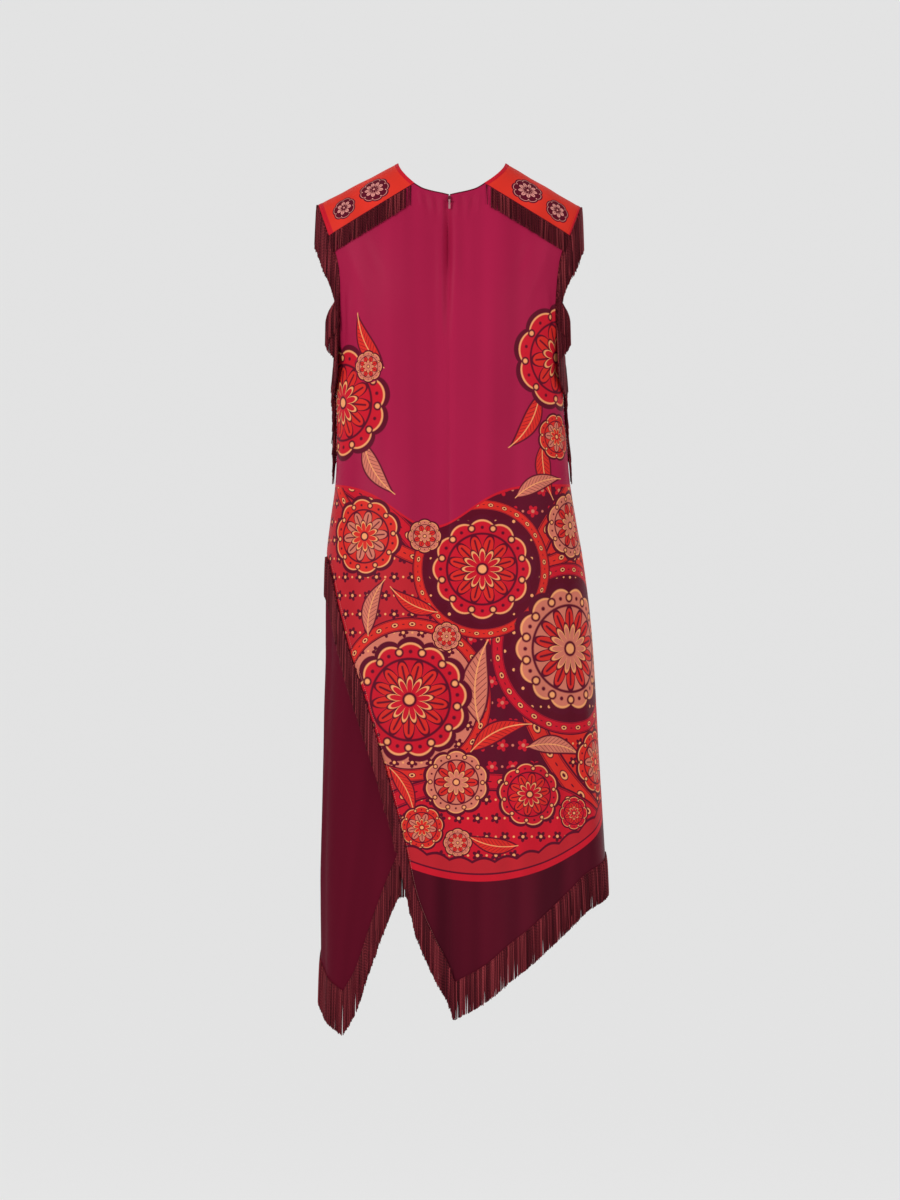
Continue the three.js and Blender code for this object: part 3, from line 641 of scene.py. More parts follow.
BACK_CREASES = rows_of(
    Crease,
    # Small puckers that hang from the neck edge.
    (-44, -41, -40, -66, 2.6, 1.4), (-36, -43, -31, -80, 3, -1.7), (-28, -45, -23, -72, 2.6, 1.5),
    (-20, -47, -17, -90, 3.2, -1.6), (-11, -50, -11, -76, 2.4, 1.3), (10, -50, 13, -84, 2.8, 1.4),
    (18, -47, 19, -68, 2.4, -1.5), (27, -45, 24, -88, 3.2, 1.6), (36, -43, 32, -72, 2.8, -1.7),
    (45, -41, 41, -78, 2.6, 1.3),
    # The centre seam: a trough below the zip's slider that fades, and a groove all the way down.
    (-2, -52, -3, -165, 5.6, -5.6), (-2, -62, -3, -255, 5.2, -5.2), (-13, -72, -12, -280, 6, 1.8),
    (10, -80, 12, -200, 6, 1.2), (19, -85, 22, -180, 7, -1.2), (0, -30, 0, -950, 2.4, -1.3),
    (1, -850, 6, -1280, 2.4, -1),
    # From the yokes' corners down to the shoulder blades.
    (-155, -118, -118, -205, 10, 1.4), (-128, -110, -98, -180, 8, -1), (150, -120, 112, -215, 10, 1.4),
    (122, -108, 100, -165, 8, -1),
    # Beside the armholes.
    (-163, -188, -168, -268, 4.2, -2.4), (-154, -182, -158, -258, 5, 1.4), (160, -190, 166, -262, 4.2, -2.2),
    (150, -186, 155, -250, 5, 1.4),
    # Drags from under the arms.
    (-192, -292, -132, -322, 8, -1.8), (-190, -318, -148, -354, 7, 1.4), (190, -296, 128, -334, 8, -1.6),
    (192, -330, 150, -362, 7, 1.4),
    # The waist.
    (-190, -392, -100, -404, 10, -1.7), (-188, -424, -122, -442, 9, 1.4), (192, -386, 108, -398, 10, -1.6),
    (186, -428, 132, -446, 8, 1.4), (-62, -410, 24, -418, 12, -0.9),
    # The hips.
    (-200, -492, -112, -566, 14, -2), (-160, -470, -90, -520, 11, 1.2), (210, -486, 118, -562, 14, -2),
    (200, -548, 102, -660, 16, 2),
    # Long falls of the skirt.
    (-22, -640, -12, -1120, 14, -2.2), (36, -760, 42, -1160, 12, 2.2), (78, -700, 90, -1130, 11, -2.4),
    (124, -740, 140, -1070, 11, 2.2), (166, -820, 182, -1040, 10, -1.8), (212, -690, 226, -1020, 14, 2),
    (-64, -700, -50, -1020, 12, 1.8), (-112, -640, -98, -840, 10, -1.4),
    per_metre=1000,
)
FRONT_CREASES = rows_of(
    Crease,
    # Soft folds that fall from the neck's curve.
    (372, -118, 400, -190, 9, -1.2), (436, -112, 440, -205, 11, 1), (502, -116, 478, -196, 9, -1.2),
    # Beside the armholes and over the bust.
    (292, -180, 300, -262, 4.5, -2), (588, -180, 580, -262, 4.5, -2), (268, -300, 352, -262, 9, -1.8),
    (262, -326, 336, -312, 8, 1.4), (612, -300, 530, -264, 9, -1.8), (618, -330, 548, -314, 8, 1.4),
    # The waist.
    (250, -392, 340, -404, 10, -1.6), (252, -426, 318, -444, 9, 1.4), (620, -396, 540, -410, 10, -1.6),
    (410, -412, 486, -420, 12, -1),
    # The hips and the long falls of the skirt.
    (268, -500, 362, -580, 14, -2), (690, -506, 600, -590, 14, -2), (330, -640, 322, -1000, 13, 2.4),
    (386, -700, 380, -1000, 11, -2.4), (452, -600, 456, -1000, 14, 2.4), (528, -660, 540, -1010, 12, -2.6),
    (596, -620, 612, -1040, 13, 2.4), (664, -700, 684, -1100, 12, -2.4), (742, -680, 752, -1140, 11, 2.4),
    (792, -720, 800, -1170, 10, -2.4), (838, -800, 846, -1150, 9, 2),
    per_metre=1000,
)


def along_edge(table: tuple, z: np.ndarray, column: int = 1) -> np.ndarray:
    """One column of an edge's table, carried smoothly to heights z, or to degrees in a hem's table."""
    rows = np.array(table)
    return smooth_curve(z, rows[:, 0], rows[:, column])


def yoke_edge(z: np.ndarray, inner: float, outer: float) -> np.ndarray:
    """x of the straight seam under a yoke, from the neck to its corner."""
    return inner + (outer - inner) * (NECK_TOP - z) / (NECK_TOP - YOKE_CORNER)


def outer_x(z: np.ndarray, neck: tuple, corner: float, armhole: tuple, side: Side) -> np.ndarray:
    """x of a panel's outer edge above the underarm: the yoke's seam and then the armhole."""
    under_yoke = yoke_edge(z, neck[-1].x, corner)
    return np.where(z >= YOKE_CORNER, under_yoke, along_edge(armhole, z, 1 if side is Side.LEFT else 2))


@dataclass
class Panel:
    """A cut piece of the body of the dress, laid on the form with its creases."""

    node: str
    slot: str
    creases: tuple[Crease, ...]
    thick: float = 0.0008
    neck_step: float = 0.0014
    row_step: float = 0.0045
    hem_rows: int = 44
    ripple: float = 0.00022
    sheets: list[Sheet] = field(default_factory=list)

    def heights(self, bottom: float) -> np.ndarray:
        """Heights of the rows: close together beside the neck and the yoke, even below."""
        fine = np.arange(NECK_TOP, YOKE_CORNER, -self.neck_step)
        even = np.linspace(YOKE_CORNER, bottom, int((YOKE_CORNER - bottom) / self.row_step) + 1)
        return np.concatenate([fine, even])

    def laid(self, angle: np.ndarray, z: np.ndarray, inset: np.ndarray | float = 0.0) -> Sheet:
        """Points of the cloth over angles and heights, with creases and a faint ripple.

        The ripple is a product of sines of the place on the cut cloth.

        Args:
            angle: Turn from the centre back at each point.
            z: Height of each point.
            inset: How far the cloth is moved out from the form.

        Returns:
            The points and their places on the cut cloth.
        """
        angle, z = np.broadcast_arrays(angle, z)
        cut = np.stack([FORM.arc(angle, z), z], axis=-1)
        u, v = cut[..., 0], cut[..., 1]
        ripple = np.sin(u / 0.019 + 2.2 * np.sin(v / 0.093)) * np.sin(v / 0.047 + 1.4 * np.sin(u / 0.061))
        lift = inset + self.ripple * ripple + sum(crease.height(cut) for crease in self.creases)
        return FORM.point(angle, z, lift), cut

    def build(self) -> bpy.types.Object:
        """The panel's cloth, in place of its node."""
        return in_place_of(self.node, cloth(f"{self.node}_cloth", self.sheets, self.thick))

    def flat_size(self) -> tuple[tuple[float, float], float]:
        """Width and length of the cut, and its area: half the sum of its triangles' cross products."""
        _, cut, faces = joined_sheets(self.sheets)
        a, b, c = np.moveaxis(cut[faces], 1, 0)
        one, two = b - a, c - a
        area = float(np.abs(one[:, 0] * two[:, 1] - one[:, 1] * two[:, 0]).sum() / 2)
        width, length = cut.max(axis=0) - cut.min(axis=0)
        return (float(width), float(length)), area


def centre_edge(z: np.ndarray, side: Side) -> np.ndarray:
    """The angle of a back half's inner edge: the neck, the slit above the slider and the centre seam."""
    open_gap = SLIT_HALF * smooth_step((z - SLIDER_TOP) / SLIT_FADE)
    seam = FORM.angle_at(along_edge(CENTRE_SEAM, z), z)
    gap = FORM.turn_of(1.0, 0.0, z) * open_gap
    neck = FORM.angle_at(side.value * along_edge(BACK_NECK, z), z)
    below = seam + side.value * gap
    return np.where(z > BACK_NECK[0].z, side.value * np.maximum(np.abs(neck), np.abs(below)), below)


@dataclass
class BackPanel(Panel):
    """Half of the back. The left one ends in the slanting edge, the right one in the sloping hem."""

    side: Side = Side.LEFT
    columns: int = 72

    def outer_edge(self, z: np.ndarray) -> np.ndarray:
        """The angle of the outer edge: yoke seam, armhole, side seam and, on the left, the slanting edge."""
        sign = self.side.value
        high = FORM.angle_at(sign * outer_x(z, BACK_NECK, YOKE_BACK_CORNER, BACK_ARMHOLE, self.side), z)
        edge = np.where(z > UNDERARM, high, sign * math.pi / 2)
        if self.side is Side.LEFT:
            edge = np.where(z < SLIT_TOP, FORM.angle_at(along_edge(SLANT_EDGE, z), z), edge)
        return edge

    def cut_out(self) -> None:
        """Lays the panel: each row runs evenly from one edge to the other."""
        share = np.linspace(0.0, 1.0, self.columns + 1)
        if self.side is Side.LEFT:
            z = self.heights(SLANT_EDGE[-1].z)
            outer = self.outer_edge(z)
            inner = np.maximum(centre_edge(z, self.side), outer)
            angle = outer[:, None] + (inner - outer)[:, None] * share
            self.sheets = [self.laid(angle, z[:, None])]
            return
        z = self.heights(HEM_SPLIT)
        rows = np.repeat(z[:, None], share.size, axis=1)
        hem = along_edge(BACK_HEM, 90 * share)
        drop = np.linspace(0.0, 1.0, self.hem_rows + 1)[1:, None]
        rows = np.concatenate([rows, HEM_SPLIT + (hem - HEM_SPLIT) * drop])
        inner, outer = centre_edge(rows, self.side), self.outer_edge(rows)
        self.sheets = [self.laid(inner + (np.maximum(outer, inner) - inner) * share, rows)]

    @property
    def slant(self) -> np.ndarray:
        """The line of the slanting edge, from the slit down to the low corner."""
        points, cut = self.sheets[0]
        return points[cut[:, 0, 1] <= SLIT_TOP, 0]

    @property
    def hem(self) -> np.ndarray:
        """The line of the hem."""
        return self.sheets[0][0][-1]

    @property
    def neck(self) -> np.ndarray:
        """The line of the neck edge, from the yoke to the centre back."""
        points, cut = self.sheets[0]
        return points[cut[:, 0, 1] >= BACK_NECK[0].z, -1 if self.side is Side.LEFT else 0]

    @property
    def centre(self) -> np.ndarray:
        """The line of the centre edge beside the zip's open top."""
        points, cut = self.sheets[0]
        z = cut[:, 0, 1]
        return points[(z <= BACK_NECK[0].z) & (z >= YOKE_CORNER), -1 if self.side is Side.LEFT else 0]

    @property
    def armhole(self) -> np.ndarray:
        """The line of the armhole's back edge, down to the underarm."""
        points, cut = self.sheets[0]
        z = cut[:, 0, 1]
        return points[(z <= YOKE_CORNER) & (z >= UNDERARM), 0 if self.side is Side.LEFT else -1]


@dataclass
class FrontPanel(Panel):
    """The front, which wraps round the left side below the hip and lies inside the back there."""

    columns: int = 140
    main_share: float = 0.70
    corner_share: float = 0.85
    main_end: float = 262.0
    spread_from: float = -0.440
    spread_to: float = -0.680
    wrap_inset: float = 0.007
    step_from: float = 271.0
    step_to: float = 286.0
    step_rise: float = 0.014
    step_drop: float = 0.022

    def inset(self, angle: np.ndarray, z: np.ndarray) -> np.ndarray:
        """How far the wrap lies inside the form: it steps in round the left side and below the slit's top."""
        turn = smooth_step((np.degrees(angle) - self.step_from) / (self.step_to - self.step_from))
        return -self.wrap_inset * turn * smooth_step((SLIT_TOP + self.step_rise - z) / self.step_drop)

    def left_end(self, z: np.ndarray) -> np.ndarray:
        """Degrees of the left end: the side seam, and below the slit the hidden edge under the back."""
        rows = np.array(sorted(WRAP_EDGE))
        hidden = 360 + np.degrees(FORM.angle_at(np.interp(z, rows[:, 0], rows[:, 1]), z))
        return np.where(z > WRAP_EDGE[0].z, LEFT_SEAM, hidden)

    def spread(self, share: np.ndarray, z: np.ndarray) -> np.ndarray:
        """Degrees of the columns: even above the hip, moving round below it to meet the wrap's corner.

        Args:
            share: Share of the way across, 0 at the right side seam.
            z: Heights, as a column.

        Returns:
            The angle of each column at each height, in degrees.
        """
        start, end = RIGHT_SEAM, self.left_end(z)
        turn = smooth_step((self.spread_from - z) / (self.spread_from - self.spread_to))
        even_main = start + (LEFT_SEAM - start) * self.main_share
        main = even_main + (self.main_end - even_main) * turn
        even = (share - self.main_share) / (1 - self.main_share)
        stops = (self.main_share, self.corner_share, 1.0)
        low = np.interp(share, stops, (self.main_end, WRAP_CORNER, WRAP_END))
        moved = (low - self.main_end) / (WRAP_END - self.main_end)
        rest = main + (end - main) * (even + (moved - even) * turn)
        return np.where(share <= self.main_share, start + (main - start) * share / self.main_share, rest)

    def half_row(self, share: np.ndarray, z: np.ndarray, side: Side) -> np.ndarray:
        """Angles above the underarm, where the two halves stand apart round the neck."""
        sign = side.value
        far = outer_x(z, FRONT_NECK, YOKE_FRONT_CORNER, FRONT_ARMHOLE, side)
        outer = math.pi - sign * FORM.angle_at(far, z)
        neck = math.pi - sign * FORM.angle_at(along_edge(FRONT_NECK, z), z)
        inner = np.where(z > FRONT_NECK[0].z, neck, math.pi)
        start, end = (outer, inner) if side is Side.RIGHT else (inner, outer)
        return start + (end - start) * share

    def cut_out(self) -> None:
        """Lays the panel as a right and a left half that share the centre line below the neck."""
        share = np.linspace(0.0, 1.0, self.columns + 1)
        z = self.heights(HEM_SPLIT)[:, None]
        angle = np.radians(self.spread(share, z))
        foot = self.spread(share, np.array([[HEM_SPLIT]]))
        hem = np.where(foot <= WRAP_CORNER, along_edge(FRONT_HEM, foot), along_edge(WRAP_HEM, foot))
        drop = np.linspace(0.0, 1.0, self.hem_rows + 1)[1:, None]
        low = HEM_SPLIT + (hem - HEM_SPLIT) * drop
        rows = np.concatenate([np.repeat(z, share.size, axis=1), low])
        angle = np.concatenate([angle, np.repeat(np.radians(foot), drop.size, axis=0)])
        middle = self.columns // 2
        even = np.linspace(0.0, 1.0, middle + 1)
        self.sheets = []
        for side, part in ((Side.RIGHT, slice(0, middle + 1)), (Side.LEFT, slice(middle, None))):
            high = self.half_row(even, z, side)
            high = np.concatenate([high, np.zeros((drop.size, high.shape[1]))])
            turned = np.where(rows[:, part] > UNDERARM, high, angle[:, part])
            self.sheets.append(self.laid(turned, rows[:, part], self.inset(turned, rows[:, part])))

    @property
    def hems(self) -> tuple[np.ndarray, np.ndarray]:
        """The hem's line round to the wrap's low corner, and the one from there up to under the back."""
        corner = round(self.columns * self.corner_share)
        line = np.concatenate([self.sheets[0][0][-1], self.sheets[1][0][-1][1:]])
        return line[: corner + 1], line[corner:]

    @property
    def necks(self) -> list[np.ndarray]:
        """The two lines of the neck edge."""
        (right, cut), (left, _) = self.sheets
        high = cut[:, 0, 1] >= FRONT_NECK[0].z
        return [right[high, -1], left[high, 0]]

    def armhole(self, side: Side) -> np.ndarray:
        """The line of an armhole's front edge, down to the underarm."""
        points, cut = self.sheets[0 if side is Side.RIGHT else 1]
        z = cut[:, 0, 1]
        return points[(z <= YOKE_CORNER) & (z >= UNDERARM), 0 if side is Side.RIGHT else -1]


@dataclass
class Yoke:
    """A shoulder piece, bent over the shoulder's ridge from the back seam to the front seam."""

    side: Side
    across_steps: int = 64
    thick: float = 0.0009
    bend: float = math.radians(62)
    neck_curve: float = 1.6
    seam_rise: float = 0.00039
    turn_in: float = 0.032
    turned_height: float = 0.00045
    ripple: float = 0.00035
    turn_fade: float = 0.006
    grid: np.ndarray = field(default_factory=lambda: np.zeros((1, 1, 3)))
    cut: np.ndarray = field(default_factory=lambda: np.zeros((1, 1, 2)))

    @property
    def node(self) -> str:
        """The name of the yoke's node."""
        return f"yoke_{self.side.word}"

    def point(self, along: np.ndarray, across: np.ndarray) -> np.ndarray:
        """Points of the yoke: the bend's cosine gives the drop from the ridge and its sine the depth.

        Args:
            along: Share of the way from the neck to the outer end.
            across: -1 at the back seam, 0 on the ridge, 1 at the front seam.

        Returns:
            The points.
        """
        ridge, sign = RIDGES[self.side], self.side.value
        z = NECK_TOP - along * (NECK_TOP - YOKE_CORNER)
        rear = across < 0
        back = yoke_edge(z, BACK_NECK[-1].x, YOKE_BACK_CORNER)
        front = yoke_edge(z, FRONT_NECK[-1].x, YOKE_FRONT_CORNER)
        angle = FORM.angle_at(sign * np.where(rear, back, front), z)
        edge = FORM.point(np.where(rear, angle, math.pi - angle), z + self.seam_rise)
        top_x = sign * (ridge.neck_x + (ridge.tip_x - ridge.neck_x) * along)
        top_z = ridge.tip_z * along
        bent = np.abs(across) * self.bend
        drop = (1 - np.cos(bent)) / (1 - math.cos(self.bend))
        away = drop ** (self.neck_curve + (1 - self.neck_curve) * along)
        x = top_x + (edge[..., 0] - top_x) * away
        y = edge[..., 1] * np.sin(bent) / math.sin(self.bend)
        return np.stack([x, y, top_z + (edge[..., 2] - top_z) * drop], axis=-1)

    def cut_out(self) -> None:
        """Lays the yoke, with its ends turned under and a light ripple, finer beside the turned ends."""
        inner = self.turn_in * 1.5
        fine, even = np.linspace(0.0, inner, 9), np.linspace(inner, 1 - inner, 34)[1:-1]
        shares = np.concatenate([fine, even, 1 - fine[::-1]])
        if self.side is Side.LEFT:
            shares = shares[::-1]
        along, across = np.meshgrid(shares, np.linspace(1.0, -1.0, self.across_steps + 1))
        plain = self.point(along, across)
        steps = np.linalg.norm(np.diff(plain, axis=0), axis=-1)
        down = np.concatenate([np.zeros((1, along.shape[1])), np.cumsum(steps, axis=0)])
        ridge_row = self.across_steps // 2
        length = line_length(plain[ridge_row])
        self.cut = np.stack([along * length, down[ridge_row] - down], axis=-1)
        right, under = np.gradient(plain, axis=1), np.gradient(plain, axis=0)
        out = unit(np.cross(right, -under))
        from_end = np.minimum(along, 1 - along)
        lift = self.turned_height * (1 - smooth_step((from_end - self.turn_in) / self.turn_fade))
        wave = np.sin(self.cut[..., 0] / 0.0085 + 1.5 * np.sin(self.cut[..., 1] / 0.021))
        lift = lift + self.ripple * wave * np.sin(math.pi * along) * np.cos(across * math.pi / 2)
        self.grid = plain + out * lift[..., None]

    def build(self) -> bpy.types.Object:
        """The yoke's cloth, in place of its node."""
        made = cloth(f"{self.node}_cloth", [(self.grid, self.cut)], self.thick)
        return in_place_of(self.node, made)

    def across_line(self, along: float, low: float = -1.0, high: float = 1.0) -> np.ndarray:
        """A line over the shoulder at a share of the way from the neck to the outer end."""
        return self.point(np.full(60, along), np.linspace(low, high, 60))

    def seam_line(self, across: float) -> np.ndarray:
        """A line from the neck to the outer end."""
        return self.point(np.linspace(0.0, 1.0, 70), np.full(70, across))

    def flat_size(self) -> tuple[tuple[float, float], float]:
        """Width and length of the cut, and its area: the sum of the grid's cells."""
        width, length = np.ptp(self.cut.reshape(-1, 2), axis=0)
        one = np.linalg.norm(np.diff(self.grid, axis=0), axis=-1)[:, :-1]
        two = np.linalg.norm(np.diff(self.grid, axis=1), axis=-1)[:-1]
        return (float(width), float(length)), float((one * two).sum())


# ---- Fringes ----
class Fall(Enum):
    """How strands fall: clear of the cloth, or down over it behind or in front."""

    FREE = 0
    OVER_BACK = 1
    OVER_FRONT = -1


@dataclass
class Fringe:
    """A run of knotted strands along a line, standing for the fringe's node."""

    node: str
    line: np.ndarray
    length: float
    fall: Fall = Fall.FREE
    flare: float = 0.0035
    lift: float = 0.0020
    pitch: float = 0.0018
    layers: int = 2
    layer_gap: float = 0.0013
    radius: float = 0.00085
    steps: int = 9
    sides: int = 5
    spread: float = 0.012
    wander: float = 0.0005
    clump: int = 4
    draw_in: float = 0.08
    thin_end: float = 0.0
    fewest: float = 0.12
    jitter: float = 0.12
    vary: float = 0.12
    hang: float = 0.85
    flare_reach: float = 0.4
    out: np.ndarray | None = None
    flares: tuple[tuple[float, float], ...] = ()
    sways: tuple[tuple[float, float], ...] = ((1.0, 3.1), (0.5, 7.3))
    taper: float = 0.28
    knot: float = 1.35

    def roots(self, chance: np.random.Generator) -> tuple[np.ndarray, np.ndarray, np.ndarray]:
        """Where each strand starts, which way is out there, and the strand's layer."""
        count = max(int(line_length(self.line) / self.pitch), 4)
        shares, layers = [], []
        for layer in range(self.layers):
            even = (np.arange(count) + 0.5 + 0.5 * (layer % 2)) / (count + 0.5)
            shares.append(np.clip(even + chance.normal(0, self.jitter / count, count), 0, 1))
            layers.append(np.full(count, layer))
        share, layer = np.concatenate(shares), np.concatenate(layers)
        order = np.argsort(share, kind="stable")
        kept = order[chance.random(order.size) < self.fewest + share[order] / max(self.thin_end, SMALLEST)]
        root = resampled(self.line, share[kept])
        out = FORM.outwards(root) if self.out is None else np.broadcast_to(unit(self.out), root.shape)
        return root, out, layer[kept]

    def strands(self) -> tuple[np.ndarray, np.ndarray, np.ndarray]:
        """Paths, radii and outward directions of all strands.

        A strand hangs straight and flares out by the square root of the way down. Neighbours draw together
        towards their tips, and each wanders to the side on two slow sines.

        Returns:
            The paths, the radii and the outward directions.
        """
        chance = np.random.default_rng(sum(map(ord, self.node)))
        root, out, layer = self.roots(chance)
        count = len(root)
        t = np.linspace(0.0, 1.0, self.steps)[None, :] ** self.hang
        size = self.length * (1 + self.spread * chance.normal(0, 1, count).clip(-2, 2))
        drop = size[:, None] * t
        side = unit(np.cross(out, np.array([0.0, 0.0, 1.0])))
        groups = np.arange(count) // (self.clump * self.layers)
        totals = np.bincount(groups, minlength=groups[-1] + 1)
        middle = np.stack([np.bincount(groups, root[:, k]) / totals for k in range(3)], axis=-1)[groups]
        to_middle = ((middle - root) * side).sum(axis=1)
        phase = chance.uniform(0, 2 * math.pi, (2, count, 1))
        sway = sum(much * (np.sin(p + turn * t) - np.sin(p)) for p, (much, turn) in zip(phase, self.sways))
        lean = chance.normal(0, 0.9, (count, 1)) * self.wander
        group_lean = chance.normal(0, 0.7, groups[-1] + 1)[groups][:, None] * self.wander
        drawn = self.draw_in * to_middle[:, None] * t**1.6
        aside = drawn + self.wander * 0.5 * sway * t + (lean + group_lean) * t
        off = self.layer_gap * layer[:, None] + self.flare * np.sqrt(t) + np.abs(lean) * 0.4 * t
        if self.flares:
            flared = np.interp(root[:, 2], *np.array(self.flares).T)[:, None]
            off = off + flared * np.minimum(t / self.flare_reach, 1.0) ** 0.7
        z = root[:, 2:] - drop
        if self.fall is Fall.FREE:
            path = np.stack([root[:, :1] + 0 * t, root[:, 1:2] + 0 * t, z], axis=-1)
            path = path + out[:, None] * (off + self.lift)[..., None] + side[:, None] * aside[..., None]
        else:
            x = root[:, :1] + side[:, :1] * aside
            angle = FORM.angle_at(x, z)
            angle = angle if self.fall is Fall.OVER_BACK else math.pi - angle
            path = FORM.point(angle, z, self.lift + off)
        stout = (1 + self.vary * chance.normal(0, 1, (count, 1))).clip(0.7, 1.3)
        radii = self.radius * stout * (1.0 - self.taper * t)
        radii[:, 0] *= self.knot
        return path, radii, np.broadcast_to(out[:, None], path.shape)

    def build(self) -> bpy.types.Object:
        """The strands, in place of their node."""
        path, radii, out = self.strands()
        made = tubes(f"{self.node}_strands", path, radii, out, self.sides)
        return in_place_of(self.node, made)


def lowered(line: np.ndarray, drop: float, start: float) -> np.ndarray:
    """A line from a share of its way on, moved down."""
    return resampled(line, np.linspace(start, 1.0, 80)) - np.array([0.0, 0.0, drop])


def moved_out(line: np.ndarray, lift: float) -> np.ndarray:
    """The line moved away from the middle of the form."""
    return line + FORM.outwards(line) * lift


# ---- The dress ----
@dataclass
class Dress:
    """The whole dress: panels, yokes, edges, fringes and zip."""

    roll: float = 0.00085
    piping: float = 0.0010
    stitch_pitch: float = 0.0032
    stitch_length: float = 0.0020
    stitch_radius: float = 0.00022
    side_fringe_top: float = -0.292
    side_fringe_foot: float = -0.438
    underarm_top: float = -0.1075
    underarm_flares: tuple[tuple[float, float], ...] = (
        (-0.252, 0.0), (-0.234, 0.001), (-0.225, 0.007), (-0.217, 0.014), (-0.208, 0.0180), (-0.200, 0.016),
        (-0.192, 0.007), (-0.182, 0.0),
    )
    tape_half: float = 0.011
    tape_foot: float = -0.420
    tape_inset: float = 0.0018
    tape_thick: float = 0.0004
    coil_radius: float = 0.00036
    coil_half: float = 0.0013
    coil_top: float = -0.0500
    coil_foot: float = -0.0600
    coil_inset: float = 0.0009
    stitch_span: float = 0.97

    def __post_init__(self) -> None:
        """Cuts the panels and yokes out."""
        self.left = BackPanel("back_left", "raspberry_silk", BACK_CREASES, side=Side.LEFT)
        self.right = BackPanel("back_right", "raspberry_silk", BACK_CREASES, side=Side.RIGHT)
        self.front = FrontPanel("front", "burgundy_silk", FRONT_CREASES)
        self.yokes = {side: Yoke(side) for side in Side}
        for piece in (self.left, self.right, self.front, *self.yokes.values()):
            piece.cut_out()
        self.pieces: dict[str, bpy.types.Object] = {}

    def keep(self, piece: bpy.types.Object, slot: str = "") -> bpy.types.Object:
        """Notes a piece by its name, and lets a new one ride with the dress when a slot is given."""
        if slot:
            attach(piece, DRESS_BODY)
        self.pieces[piece.name] = piece
        log.info("%s: %d triangles", piece.name, len(piece.data.loop_triangles) or len(piece.data.polygons))
        return piece

    def build_cloth(self) -> None:
        """The panels and the yokes, each logged with its flat size."""
        for panel in (self.left, self.right, self.front):
            made = self.keep(panel.build())
            flat, area = panel.flat_size()
            log.info("%s: cut %.3f by %.3f m, %.4f square metres", made.name, *flat, area)
        for yoke in self.yokes.values():
            made = self.keep(yoke.build())
            flat, area = yoke.flat_size()
            log.info("%s: cut %.3f by %.3f m, %.4f square metres", made.name, *flat, area)

    def build_edges(self) -> None:
        """Rolled hems, the fine stitches inside them and the yokes' topstitching."""
        left, right, front = self.left, self.right, self.front
        centres = [left.centre[:12], right.centre[:12]]
        holes = [left.armhole, right.armhole, front.armhole(Side.LEFT), front.armhole(Side.RIGHT)]
        # The neck, armhole, slanting-edge and yoke-seam rolls get the dark burgundy finish; where they edge
        # raspberry or vermilion cloth it is painted shade, a thin dark line along the edge.
        self.keep(edge_tube("neck_roll", [left.neck, right.neck, *front.necks], self.piping), "burgundy_silk")
        self.keep(edge_tube("opening_roll", centres, self.roll * 0.7, step=0.0015), "raspberry_silk")
        self.keep(edge_tube("armhole_roll", holes, self.roll), "raspberry_silk")
        self.keep(edge_tube("slant_roll", [left.slant], self.roll), "raspberry_silk")
        self.keep(edge_tube("hem_roll", [right.hem, *front.hems], self.roll), "burgundy_silk")
        for side, yoke in self.yokes.items():
            ends = [yoke.across_line(0.0), yoke.across_line(1.0)]
            self.keep(edge_tube(f"yoke_roll_{side.word}", ends, self.roll), "vermilion_silk")
            seams = [yoke.seam_line(-1.0), yoke.seam_line(1.0)]
            self.keep(edge_tube(f"yoke_seam_{side.word}", seams, self.roll * 0.8), "vermilion_silk")
        points, cut = left.sheets[0]
        slant = points[cut[:, 0, 1] <= SLIT_TOP - 0.01, 3]
        raised = moved_out(slant, self.stitch_radius + left.thick / 2)
        self.keep(self.row("slant_stitches", [raised]), "fringe_yarn")
        tops = []
        for yoke in self.yokes.values():
            for share in (yoke.turn_in, 1 - yoke.turn_in):
                line = yoke.across_line(share, -self.stitch_span, self.stitch_span)
                tops.append(line + self.up_from(yoke, share) * (yoke.turned_height + yoke.thick / 2))
        self.keep(self.row("yoke_stitches", tops), "vermilion_silk")

    def up_from(self, yoke: Yoke, share: float) -> np.ndarray:
        """Outward directions along a line over the shoulder, from short steps to both sides."""
        step = 0.002
        across = np.linspace(-self.stitch_span, self.stitch_span, 60)
        here = np.full(60, share)
        along = yoke.point(here + step, across) - yoke.point(here - step, across)
        over = yoke.point(here, across + step) - yoke.point(here, across - step)
        out = unit(np.cross(along, over))
        return out * np.sign(out[30, 2])

    def row(self, name: str, lines: list[np.ndarray]) -> bpy.types.Object:
        """A row of stitches at the dress's pitch."""
        return stitches(name, lines, self.stitch_pitch, self.stitch_length, self.stitch_radius)

    def side_line(self, side: Side) -> np.ndarray:
        """The side seam, from under the arm down to where its fringe stops."""
        z = np.linspace(self.side_fringe_top, self.side_fringe_foot, 60)
        return FORM.point(np.full(60, side.value * math.pi / 2), z)

    def underarm_line(self, side: Side) -> np.ndarray:
        """The lower armhole: down its back edge, under the arm and up its front edge."""
        back = (self.left if side is Side.LEFT else self.right).armhole
        front = self.front.armhole(side)
        back, front = (line[line[:, 2] <= self.underarm_top] for line in (back, front))
        return np.concatenate([back, front[::-1]])

